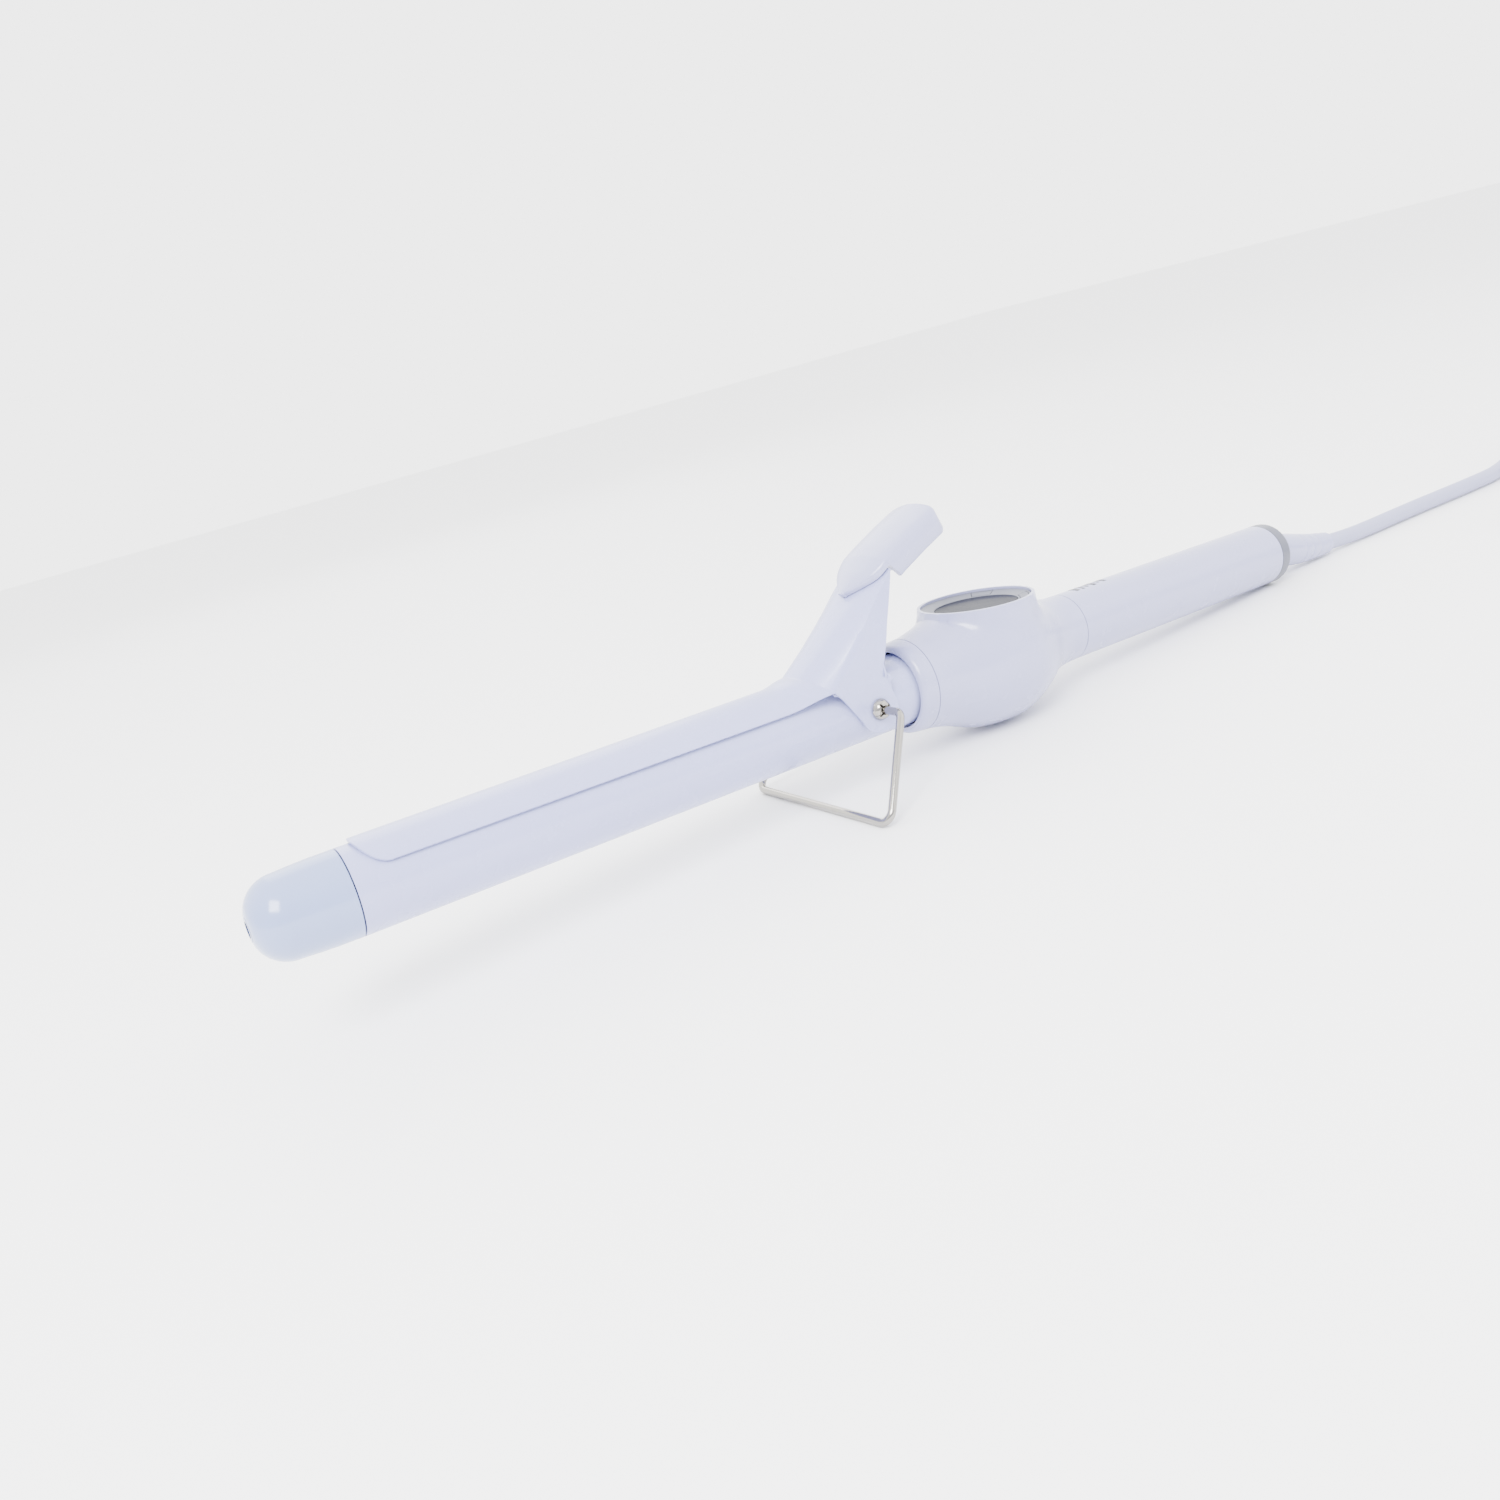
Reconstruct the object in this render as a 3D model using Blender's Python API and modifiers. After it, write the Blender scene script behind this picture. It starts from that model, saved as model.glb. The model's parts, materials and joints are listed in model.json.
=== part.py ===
"""Curling iron with a sprung clip, a wire rest stand, a round display and a mains cord.

The iron is drawn in its own axis frame: +X runs along the barrel from the cool tip to the cord,
+Z is the lever side, and the frame's origin is on the barrel's axis where the tip meets the
barrel. An empty carries that frame and tilts it, so that the iron rests on the floor (z = 0)
on its wire stand and on the edge of its end ring. The cord lies on the floor, in world metres.
"""

import math

import bmesh
import bpy
from mathutils import Matrix, Vector

CLEAR = 0.0003

# Barrel and cool tip
BARREL_R = 0.011
BARREL_WALL = 0.0008
BARREL_END = 0.172
TIP_LENGTH = 0.0227
TIP_NOSE_R = 0.0046
TIP_HOLE_R = 0.0016
TIP_WALL = 0.0022

# Pivot, clip and lever
PIVOT_X = 0.1525
SHEET = 0.0008
CLIP_START = 0.0035
CLIP_INNER_R = 0.01135
CLIP_HALF_ANGLE = math.radians(54)
CLIP_WIDENING = math.radians(5)
CLIP_LIFT = 0.0010
LEVER_START = 0.123
LEVER_LEAN = math.radians(44)
EAR_Y = 0.0119
EAR_R = 0.0068
SHANK_R = 0.0015
SCREW_HEAD_R = 0.0032

# Wire stand: its legs lean towards the tip and spread outwards to a wide foot
WIRE_R = 0.0012
LEG_TOP_Y = 0.0214
FOOT_X = 0.1337
FOOT_Y = 0.0330
FOOT_Z = -0.0251
STAND_BEND_R = 0.0030

# Bulb housing, collar and handle
COLLAR_START = 0.1680
HOUSING_START = 0.1736
HOUSING_END = 0.2410
HOUSING_WALL = 0.0022
DISPLAY_X = 0.2052
RIM_Z = 0.0188
TURRET_R = 0.0185
RING_R = 0.0171
RING_INNER_R = 0.0131
LENS_R = 0.0129
HANDLE_R = 0.01115
HANDLE_WALL = 0.0020
HANDLE_END = 0.3457
RING_START = 0.3460
RING_END = 0.3510
RING_EDGE_R = 0.0012

# Keys: azimuth about the display's centre, from +X towards +Y
KEY_HALF_ANGLE = math.radians(13)
KEY_AZIMUTHS = {
    "temp_up_key": math.radians(39),
    "temp_down_key": math.radians(-39),
    "power_key": math.radians(-90),
}

# Mains cord, in world metres
CORD_R = 0.0030

# The tilt that rests the stand's bar and the end ring's edge on one floor
HEEL = (RING_END - RING_EDGE_R, RING_EDGE_R - HANDLE_R)
HEEL_RUN = HEEL[0] - FOOT_X
HEEL_RISE = HEEL[1] - FOOT_Z
TILT = math.atan2(HEEL_RISE, HEEL_RUN) + math.asin(
    (WIRE_R - RING_EDGE_R) / math.hypot(HEEL_RUN, HEEL_RISE)
)
LIFT = HEEL[0] * math.sin(TILT) - HEEL[1] * math.cos(TILT) + RING_EDGE_R
ORIGIN_X = -0.1640

STEPS = 40


# ---------------------------------------------------------------- scene and materials

def clear_scene():
    for thing in list(bpy.data.objects):
        bpy.data.objects.remove(thing, do_unlink=True)


def new_collection(name, hidden=False):
    made = bpy.data.collections.new(name)
    bpy.context.scene.collection.children.link(made)
    made.hide_render = hidden
    return made


def material(name, colour, roughness, metallic=0.0):
    made = bpy.data.materials.new(name)
    made.use_nodes = True
    shader = made.node_tree.nodes["Principled BSDF"]
    shader.inputs["Base Color"].default_value = (*colour, 1.0)
    shader.inputs["Roughness"].default_value = roughness
    shader.inputs["Metallic"].default_value = metallic
    return made


clear_scene()
PARTS = new_collection("curling_iron")
CUTTERS = new_collection("cutters", hidden=True)

AXIS = bpy.data.objects.new("iron_axis", None)
PARTS.objects.link(AXIS)
AXIS.location = (ORIGIN_X, 0.0, LIFT)
AXIS.rotation_euler = (0.0, TILT, 0.0)

PIVOT = bpy.data.objects.new("pivot_axis", None)
PARTS.objects.link(PIVOT)
PIVOT.parent = AXIS
PIVOT.location = (PIVOT_X, 0.0, 0.0)

WHITE = material("white_plastic", (0.80, 0.80, 0.84), 0.28)
TIP_WHITE = material("cool_tip_plastic", (0.72, 0.77, 0.84), 0.18)
COATED = material("white_coated_metal", (0.80, 0.81, 0.85), 0.25)
GREY = material("grey_plastic", (0.46, 0.48, 0.54), 0.35)
LENS = material("display_lens", (0.25, 0.26, 0.30), 0.10)
NICKEL = material("nickel_steel", (0.75, 0.74, 0.72), 0.18, 1.0)
SPRING_STEEL = material("spring_steel", (0.55, 0.55, 0.55), 0.30, 1.0)
ALUMINIUM = material("aluminium", (0.75, 0.76, 0.78), 0.35, 1.0)
CERAMIC = material("ceramic", (0.75, 0.72, 0.65), 0.60)
BOARD = material("circuit_board", (0.05, 0.25, 0.12), 0.50)
BLACK = material("black_plastic", (0.03, 0.03, 0.03), 0.40)
BRASS = material("brass", (0.72, 0.55, 0.25), 0.30, 1.0)
CORD = material("white_cord", (0.78, 0.78, 0.80), 0.45)


# ---------------------------------------------------------------- modelling helpers

def finish(piece, finish_material, parent=None, collection=None):
    """Link a piece, give it its material and hang it on its parent's frame."""
    (collection or PARTS).objects.link(piece)
    piece.parent = parent
    if finish_material:
        piece.data.materials.append(finish_material)
    return piece


def shade(piece, angle=35):
    piece.data.shade_smooth()
    piece.data.set_sharp_from_angle(angle=math.radians(angle))


def cutter(piece, parent=AXIS):
    piece.hide_render = True
    piece.display_type = "WIRE"
    return finish(piece, None, parent, CUTTERS)


def boolean(piece, tool, operation="DIFFERENCE"):
    step = piece.modifiers.new("cut", "BOOLEAN")
    step.operation = operation
    step.solver = "EXACT"
    step.object = tool


def arc(centre, radius, start, end, count):
    """Points on an arc of (station, radius) pairs; angles in degrees from the +station axis."""
    found = []
    for k in range(count + 1):
        turn = math.radians(start + (end - start) * k / count)
        found.append((centre[0] + radius * math.cos(turn), centre[1] + radius * math.sin(turn)))
    return found


def profile_object(name, points, closed):
    """An open or closed polyline of (station, radius) points, drawn at local +X."""
    mesh = bpy.data.meshes.new(name)
    corners = [(radius, 0.0, station) for station, radius in points]
    edges = [(k, k + 1) for k in range(len(points) - 1)]
    if closed:
        edges.append((len(points) - 1, 0))
    mesh.from_pydata(corners, edges, [])
    return bpy.data.objects.new(name, mesh)


def turned(name, points, finish_material, closed=False, steps=STEPS, parent=AXIS, upright=False):
    """A solid of revolution about the barrel's axis, or about local Z when upright."""
    piece = profile_object(name, points, closed)
    screw = piece.modifiers.new("turn", "SCREW")
    screw.angle = math.tau
    screw.steps = steps
    screw.render_steps = steps
    screw.use_merge_vertices = True
    screw.merge_threshold = 0.00001
    screw.use_smooth_shade = True
    if not upright:
        piece.rotation_euler = (0.0, math.pi / 2, 0.0)
    return finish(piece, finish_material, parent)


def tube(name, start, end, outer, inner, finish_material, steps=STEPS):
    loop = [(end, outer), (start, outer), (start, inner), (end, inner)]
    return turned(name, loop, finish_material, closed=True, steps=steps)


def rod(name, start, end, radius, finish_material, steps=24):
    line = [(end, 0.0), (end, radius), (start, radius), (start, 0.0)]
    return turned(name, line, finish_material, steps=steps)


def bmesh_object(name, bm):
    mesh = bpy.data.meshes.new(name)
    bm.to_mesh(mesh)
    bm.free()
    return bpy.data.objects.new(name, mesh)


def box(name, low, high, finish_material=None, parent=AXIS, bevel=0.0):
    """A box between two corners, in its parent's frame."""
    bm = bmesh.new()
    bmesh.ops.create_cube(bm, size=1.0)
    size = [high[k] - low[k] for k in range(3)]
    middle = [(high[k] + low[k]) / 2 for k in range(3)]
    bmesh.ops.scale(bm, vec=size, verts=bm.verts)
    piece = bmesh_object(name, bm)
    piece.location = middle
    if finish_material is None:
        return cutter(piece, parent)
    if bevel:
        edge = piece.modifiers.new("edge", "BEVEL")
        edge.width = bevel
        edge.segments = 2
    return finish(piece, finish_material, parent)


def cylinder(name, radius, length, location, direction, finish_material=None, parent=AXIS, sides=32):
    """A cylinder centred on location with its length along direction."""
    bm = bmesh.new()
    bmesh.ops.create_cone(
        bm, cap_ends=True, segments=sides, radius1=radius, radius2=radius, depth=length
    )
    piece = bmesh_object(name, bm)
    piece.location = location
    piece.rotation_euler = Vector(direction).to_track_quat("Z", "Y").to_euler()
    if finish_material is None:
        return cutter(piece, parent)
    shade(piece)
    return finish(piece, finish_material, parent)


def hermite(knots, x):
    """A smooth curve through (x, value) knots, level with its neighbours' mean slope."""
    if x <= knots[0][0]:
        return knots[0][1]
    if x >= knots[-1][0]:
        return knots[-1][1]
    k = max(i for i in range(len(knots) - 1) if knots[i][0] <= x)

    def slope(i):
        before, after = knots[max(i - 1, 0)], knots[min(i + 1, len(knots) - 1)]
        return (after[1] - before[1]) / (after[0] - before[0])

    (x0, y0), (x1, y1) = knots[k], knots[k + 1]
    span = x1 - x0
    t = (x - x0) / span
    return (
        (2 * t**3 - 3 * t**2 + 1) * y0
        + (t**3 - 2 * t**2 + t) * span * slope(k)
        + (3 * t**2 - 2 * t**3) * y1
        + (t**3 - t**2) * span * slope(k + 1)
    )


def smooth_route(points, spacing):
    """Points every spacing metres along a smooth curve through the route's own points."""
    knots = [Vector(p) for p in points]
    fine = []
    for k in range(len(knots) - 1):
        a = knots[max(k - 1, 0)]
        b, c = knots[k], knots[k + 1]
        d = knots[min(k + 2, len(knots) - 1)]
        for j in range(24):
            t = j / 24
            fine.append(0.5 * (
                2 * b + (c - a) * t + (2 * a - 5 * b + 4 * c - d) * t**2
                + (3 * b - a - 3 * c + d) * t**3
            ))
    fine.append(knots[-1])
    total = sum((q - p).length for p, q in zip(fine, fine[1:]))
    count = max(2, round(total / spacing))
    found, travelled, target = [fine[0]], 0.0, total / count
    for p, q in zip(fine, fine[1:]):
        step = (q - p).length
        while travelled + step >= target * len(found) and len(found) < count:
            share = (target * len(found) - travelled) / step
            found.append(p.lerp(q, share))
        travelled += step
    found.append(fine[-1])
    return found


def wire(name, points, radius, finish_material, parent=None, radii=None, resolution=2):
    """A round wire or cord along a polyline, with closed ends."""
    curve = bpy.data.curves.new(name, "CURVE")
    curve.dimensions = "3D"
    curve.bevel_depth = radius
    curve.bevel_resolution = resolution
    curve.use_fill_caps = True
    spline = curve.splines.new("POLY")
    spline.points.add(len(points) - 1)
    for k, point in enumerate(points):
        spline.points[k].co = (*point, 1.0)
        if radii:
            spline.points[k].radius = radii[k]
    return finish(bpy.data.objects.new(name, curve), finish_material, parent)


def bent(corners, radius, count=5):
    """A polyline through corners, each inner corner rounded with an arc of the given radius."""
    knots = [Vector(c) for c in corners]
    found = [knots[0]]
    for before, corner, after in zip(knots, knots[1:], knots[2:]):
        back = (before - corner).normalized()
        ahead = (after - corner).normalized()
        half = back.angle(ahead) / 2
        reach = radius / math.tan(half)
        centre = corner + (back + ahead).normalized() * (radius / math.sin(half))
        first = corner + back * reach - centre
        last = corner + ahead * reach - centre
        for k in range(count + 1):
            found.append(centre + first.slerp(last, k / count).normalized() * radius)
    found.append(knots[-1])
    return found


def loft(name, rows, closed_rows=False):
    """A quad surface through equal rows of points, as an open sheet."""
    bm = bmesh.new()
    grid = [[bm.verts.new(p) for p in row] for row in rows]
    columns = len(rows[0])
    last = columns if closed_rows else columns - 1
    for upper, lower in zip(grid, grid[1:]):
        for k in range(last):
            after = (k + 1) % columns
            bm.faces.new((upper[k], upper[after], lower[after], lower[k]))
    bmesh.ops.recalc_face_normals(bm, faces=bm.faces)
    return bmesh_object(name, bm)


# ---------------------------------------------------------------- barrel and heater

def cool_tip():
    outer = arc((TIP_NOSE_R - TIP_LENGTH + 0.0036, TIP_NOSE_R * 0.45), 0.0084, 90, 180, 8)
    outer = [(0.0, BARREL_R), (-0.006, 0.01094), (-0.0100, 0.01075)] + [
        (s, r) for s, r in outer
    ]
    nose = outer[-1][0]
    inner = [
        (nose, TIP_HOLE_R * 1.9),
        (nose + 0.0012, TIP_HOLE_R),
        (nose + 0.0045, TIP_HOLE_R),
        (nose + 0.0045, 0.0055),
        (-0.0120, 0.0085),
        (-0.0015, BARREL_R - TIP_WALL),
        (-0.0015, BARREL_R - BARREL_WALL - CLEAR),
        (0.0, BARREL_R - BARREL_WALL - CLEAR),
    ]
    return turned("cool_tip", outer + inner, TIP_WHITE, closed=True)


def tip_screw():
    nose = TIP_NOSE_R - TIP_LENGTH + 0.0036 - 0.0084
    head = nose + 0.0048
    line = [
        (0.0025, 0.0),
        (0.0025, 0.0012),
        (head + 0.0018, 0.0012),
        (head + 0.0018, 0.0026),
        (head, 0.0026),
        (head, 0.0),
    ]
    turned("tip_screw", line, NICKEL, steps=20)


def barrel():
    piece = tube(
        "barrel", CLEAR, BARREL_END, BARREL_R, BARREL_R - BARREL_WALL, COATED, steps=48
    )
    hole = cylinder("pivot_hole", SHANK_R + 0.0002, 0.03, (PIVOT_X, 0.0, 0.0), (0, 1, 0))
    boolean(piece, hole)
    bm = bmesh.new()
    corners = []
    for x, z in ((0.1500, 0.0085), (0.1712, 0.01104), (0.1712, 0.0200), (0.1500, 0.0200)):
        for y in (-0.012, 0.012):
            corners.append(bm.verts.new((x, y, z)))
    bmesh.ops.convex_hull(bm, input=corners)
    boolean(piece, cutter(bmesh_object("sleeve_flat", bm)))


def heater():
    """Two half-round aluminium clamps squeeze the heating element inside the barrel."""
    radius = BARREL_R - BARREL_WALL - 0.0007
    for name, side in (("heater_clamp_upper", 1), ("heater_clamp_lower", -1)):
        flat = math.degrees(math.asin(0.0016 / radius))
        line = arc((0.0, 0.0), radius, flat, 180 - flat, 16)
        shape = bmesh.new()
        rows = []
        for x in (0.010, 0.135):
            rows.append([shape.verts.new((x, y, side * z)) for y, z in line])
        count = len(line)
        for k in range(count):
            after = (k + 1) % count
            shape.faces.new((rows[0][k], rows[0][after], rows[1][after], rows[1][k]))
        shape.faces.new(rows[0])
        shape.faces.new(list(reversed(rows[1])))
        bmesh.ops.recalc_face_normals(shape, faces=shape.faces)
        finish(bmesh_object(name, shape), ALUMINIUM, AXIS)
    box("heating_element", (0.020, -0.0060, -0.0012), (0.110, 0.0060, 0.0012), CERAMIC)
    box("temperature_sensor", (0.113, -0.0015, -0.0010), (0.118, 0.0015, 0.0010), CERAMIC)
    cylinder(
        "thermal_fuse", 0.0011, 0.008, (0.126, 0.0, 0.0), (1, 0, 0), ALUMINIUM, sides=12
    )


def pivot_block():
    piece = cylinder(
        "pivot_block", 0.0036, 0.0184, (PIVOT_X, 0.0, 0.0), (0, 1, 0), SPRING_STEEL, sides=24
    )
    for side in (-1, 1):
        hole = cylinder(
            f"thread_{side}", SHANK_R + 0.0001, 0.008, (PIVOT_X, side * 0.0090, 0.0), (0, 1, 0)
        )
        boolean(piece, hole)


def barrel_holder():
    """The heat-proof plug that joins the barrel to the handle, with a bore for the wires."""
    bore = 0.0042
    seat = BARREL_R - BARREL_WALL - CLEAR
    line = [
        (0.1830, 0.0110),
        (BARREL_END + CLEAR, 0.0110),
        (BARREL_END + CLEAR, seat),
        (0.1585, seat),
        (0.1585, bore),
        (0.1830, bore),
    ]
    piece = turned("barrel_holder", line, BLACK, closed=True)
    flat = box("holder_flat", (0.1500, -0.0120, 0.0088), (BARREL_END + CLEAR, 0.0120, 0.0140))
    boolean(piece, flat)


# ---------------------------------------------------------------- clip, lever, spring

CREASE = [(0.1372, 0.0091), (0.1440, 0.0157), (0.1520, 0.0238), (0.1594, 0.0314), (0.1660, 0.0376)]


def flange_edge():
    """The lower and rear boundary of the lever's side, from the crease's foot round the ear."""
    ear = []
    for k in range(9):
        turn = math.radians(200 + 175 * k / 8)
        ear.append((PIVOT_X + EAR_R * math.cos(turn), EAR_R * math.sin(turn)))
    rear = [(0.1572, 0.0075), (0.1568, 0.0130), (0.1604, 0.0235), (0.1657, 0.0370)]
    return [(0.1378, 0.0090), (0.1404, 0.0064)] + ear + rear


def along(line, share):
    """The point that is a share of the way along a polyline."""
    lengths = [math.dist(p, q) for p, q in zip(line, line[1:])]
    target = share * sum(lengths)
    for (p, q), length in zip(zip(line, line[1:]), lengths):
        if target <= length:
            t = target / length
            return (p[0] + (q[0] - p[0]) * t, p[1] + (q[1] - p[1]) * t)
        target -= length
    return line[-1]


ARCH_COLUMNS = 8
SIDE_COLUMNS = 3


def trough_row(x):
    """One cross-section of the clip's trough; its front end is a rounded tongue."""
    run = max(x - CLIP_START, 0.0)
    tongue = 0.0065
    share = 1.0 if run >= tongue else math.sqrt(max(1 - (1 - run / tongue) ** 2, 0.0))
    half = (CLIP_HALF_ANGLE + CLIP_WIDENING * x / LEVER_START) * max(share, 0.12)
    radius = CLIP_INNER_R + SHEET / 2
    lift = CLIP_LIFT * x / LEVER_START
    columns = ARCH_COLUMNS + 2 * SIDE_COLUMNS
    row = []
    for k in range(columns + 1):
        turn = half * (2 * k / columns - 1)
        row.append((x, radius * math.sin(turn), radius * math.cos(turn) + lift))
    return row


def lever_row(share):
    """One ruled cross-section of the lever: side plate, arched front panel, side plate."""
    crease = along(CREASE, share)
    foot = along(flange_edge(), share)
    half = 0.0119 - 0.0019 * share
    rise = 0.0012 + 0.0052 * (1 - share) ** 1.2
    lean = LEVER_LEAN
    foot_half = half + (EAR_Y - half) * min(1.0, math.dist(crease, foot) / 0.012)
    row = []
    for k in range(SIDE_COLUMNS):
        t = k / SIDE_COLUMNS
        x = foot[0] + (crease[0] - foot[0]) * t
        z = foot[1] + (crease[1] - foot[1]) * t
        row.append((x, -(foot_half + (half - foot_half) * t), z))
    for k in range(ARCH_COLUMNS + 1):
        across = 2 * k / ARCH_COLUMNS - 1
        bulge = rise * (1 - abs(across) ** 2.6)
        row.append(
            (crease[0] - bulge * math.sin(lean), half * across, crease[1] + bulge * math.cos(lean))
        )
    for k in range(1, SIDE_COLUMNS + 1):
        x, y, z = row[SIDE_COLUMNS - k]
        row.append((x, -y, z))
    return row


def clip():
    stations = [CLIP_START, 0.0042, 0.0055, 0.0075, 0.0100, 0.0400, 0.0800, LEVER_START]
    rows = [trough_row(x) for x in stations]
    first_lever = lever_row(0.0)
    last_trough = rows[-1]
    for t in (0.35, 0.7):
        blend = t * t * (3 - 2 * t)
        rows.append([
            tuple(a[i] + (b[i] - a[i]) * (t if i == 0 else blend) for i in range(3))
            for a, b in zip(last_trough, first_lever)
        ])
    count = 16
    rows += [lever_row(k / count) for k in range(count + 1)]
    rows = [[(x - PIVOT_X, y, z) for x, y, z in row] for row in rows]
    piece = loft("clip", rows)
    skin = piece.modifiers.new("sheet", "SOLIDIFY")
    skin.thickness = SHEET
    skin.offset = 0.0
    skin.use_even_offset = True
    finish(piece, COATED, PIVOT)
    shade(piece, 40)
    hole = cylinder(
        "ear_hole", SHANK_R + 0.0002, 0.04, (0.0, 0.0, 0.0), (0, 1, 0), parent=PIVOT, sides=24
    )
    boolean(piece, hole)


HOOD_SPINE = [(0.1544, 0.0331), (0.1595, 0.0381), (0.1640, 0.0420), (0.1680, 0.0443),
              (0.1770, 0.0487), (0.1860, 0.0527)]
HOOD_HALF = 0.0102
HOOD_NOSE = 0.0125
HOOD_SKIRT = 0.0083
HOOD_CROWN = 0.0015
HOOD_PLATE = 0.0024
HOOD_WALL = 0.0017


def hood_row(share, wall=0.0, depth=None):
    """One cross-section of the thumb rest, square to its spine; wall insets it for the hollow."""
    x, z = along(HOOD_SPINE, share)
    ahead, behind = along(HOOD_SPINE, min(share + 0.03, 1)), along(HOOD_SPINE, max(share - 0.03, 0))
    slope = math.atan2(ahead[1] - behind[1], ahead[0] - behind[0])
    length = sum(math.dist(p, q) for p, q in zip(HOOD_SPINE, HOOD_SPINE[1:]))
    run, left = share * length, (1 - share) * length
    half = HOOD_HALF - wall
    if run < HOOD_NOSE:
        half *= max(math.sin(math.pi / 2 * run / HOOD_NOSE), 0.06) ** 0.75
    if left < 0.0030 and not wall:
        half -= 0.0030 - math.sqrt(max(0.0030**2 - (0.0030 - left) ** 2, 0.0))
    if depth is None:
        skirt = min(max((run - 0.0128) / 0.0014, 0.0), 1.0)
        depth = HOOD_PLATE + (HOOD_SKIRT - HOOD_PLATE) * skirt
    row = []
    for k in range(9):
        across = 1 - k / 4
        drop = HOOD_CROWN * abs(across) ** 2 * half / HOOD_HALF + 0.0007 * (abs(across) > 0.99)
        row.append((across * half, -drop - wall))
    inner = half - 0.0006
    row += [(-half, -depth * 0.8 - HOOD_CROWN), (-inner, -depth - HOOD_CROWN * 0.6)]
    row += [(inner, -depth - HOOD_CROWN * 0.6), (half, -depth * 0.8 - HOOD_CROWN)]
    return [
        (x - PIVOT_X - up * math.sin(slope), y, z + up * math.cos(slope)) for y, up in row
    ]


def capped(piece):
    """Close a loft's open ends."""
    bm = bmesh.new()
    bm.from_mesh(piece.data)
    bmesh.ops.holes_fill(bm, edges=bm.edges, sides=0)
    bmesh.ops.recalc_face_normals(bm, faces=bm.faces)
    bm.to_mesh(piece.data)
    bm.free()
    return piece


def lever_clearance():
    """The space under the thumb rest that the lever's end fills, with room all round."""
    shift = Vector((math.cos(LEVER_LEAN), 0.0, math.sin(LEVER_LEAN))) * 0.0007
    normal = Vector((-math.sin(LEVER_LEAN), 0.0, math.cos(LEVER_LEAN)))
    rows = []
    for share in (0.50, 0.60, 0.70, 0.80, 0.90, 1.0, 1.02):
        row = lever_row(min(share, 1.0))[SIDE_COLUMNS: SIDE_COLUMNS + ARCH_COLUMNS + 1]
        move = shift if share > 1 else Vector()
        upper = [
            Vector((x - PIVOT_X, y * 1.06, z)) + normal * (SHEET / 2 + 0.00035) + move
            for x, y, z in row
        ]
        lower = [upper[-1] - normal * 0.008, upper[0] - normal * 0.008]
        rows.append([tuple(p) for p in upper + lower])
    return cutter(capped(loft("lever_clearance", rows, closed_rows=True)), PIVOT)


def thumb_rest():
    """A hood over the lever's end: a crowned plate with a skirt round its overhanging part."""
    shares = [0.0, 0.02, 0.05, 0.10, 0.17, 0.25, 0.316, 0.352, 0.45, 0.6, 0.75, 0.88, 0.94,
              0.975, 1.0]
    piece = capped(loft("thumb_rest", [hood_row(t) for t in shares], closed_rows=True))
    finish(piece, WHITE, PIVOT)
    hollow = [hood_row(t, HOOD_WALL, 0.014) for t in (0.36, 0.5, 0.65, 0.8, 0.955)]
    boolean(piece, cutter(capped(loft("hood_hollow", hollow, closed_rows=True)), PIVOT))
    boolean(piece, lever_clearance())
    shade(piece, 40)


def clip_spring():
    """A leaf spring on the holder's flat that pushes up under the lever's front panel."""
    foot_z = 0.0093
    side_view = bent(
        [(0.1680, 0.0, foot_z), (0.1575, 0.0, foot_z), (0.1495, 0.0, 0.0165), (0.1470, 0.0, 0.0161)],
        0.0020, 3,
    )
    rows = [[(p.x, y, p.z) for y in (-0.0030, 0.0030)] for p in side_view]
    piece = loft("clip_spring", rows)
    skin = piece.modifiers.new("leaf", "SOLIDIFY")
    skin.thickness = 0.0004
    skin.offset = 0.0
    finish(piece, SPRING_STEEL, AXIS)
    hole = cylinder("rivet_hole", 0.0012, 0.004, (0.1592, 0.0, foot_z), (0, 0, 1), sides=16)
    boolean(piece, hole)
    line = [(0.0106, 0.0), (0.0105, 0.0008), (0.0101, 0.0016), (0.0098, 0.0018), (0.0098, 0.0010),
            (0.0089, 0.0010), (0.0089, 0.0)]
    rivet = turned("spring_rivet", line, NICKEL, steps=16, upright=True)
    rivet.location = (0.1592, 0.0, 0.0)


def pivot_screws():
    socket = WIRE_R + 0.0002
    for name, side in (("pivot_screw_near", -1), ("pivot_screw_far", 1)):
        line = [
            (0.0124, 0.0),
            (0.0124, socket),
            (0.0146, socket),
            (0.0146, SCREW_HEAD_R * 0.62),
            (0.0142, SCREW_HEAD_R * 0.86),
            (0.0133, SCREW_HEAD_R),
            (0.0126, SCREW_HEAD_R),
            (0.0126, SHANK_R),
            (0.0062, SHANK_R),
            (0.0062, 0.0),
        ]
        piece = turned(name, line, NICKEL, steps=24, upright=True)
        piece.location = (PIVOT_X, 0.0, 0.0)
        piece.rotation_euler = (side * -math.pi / 2, 0.0, 0.0)


def stand():
    """The U-shaped wire: its ends point inwards and turn in the pivot screws' heads."""
    foot = (FOOT_X - PIVOT_X, FOOT_Z)
    tip = 0.0129
    corners = [
        (0.0, -tip, 0.0),
        (0.0, -LEG_TOP_Y, 0.0),
        (foot[0], -FOOT_Y, foot[1]),
        (foot[0], FOOT_Y, foot[1]),
        (0.0, LEG_TOP_Y, 0.0),
        (0.0, tip, 0.0),
    ]
    wire("stand_wire", bent(corners, STAND_BEND_R, 5), WIRE_R, NICKEL, PIVOT, resolution=2)


# ---------------------------------------------------------------- housing and display

BULB_KNOTS = [
    (HOUSING_START, 0.01445), (0.1771, 0.0148), (0.1848, 0.0166), (0.1936, 0.0197), (0.2024, 0.0210),
    (0.2112, 0.0207), (0.2200, 0.0175), (0.2277, 0.0134), (0.2343, 0.0116), (HOUSING_END, HANDLE_R),
]
TURRET_TOP = RIM_Z + 0.0030
TURRET_POWER = 12
BLEND_POWER = 14


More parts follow.
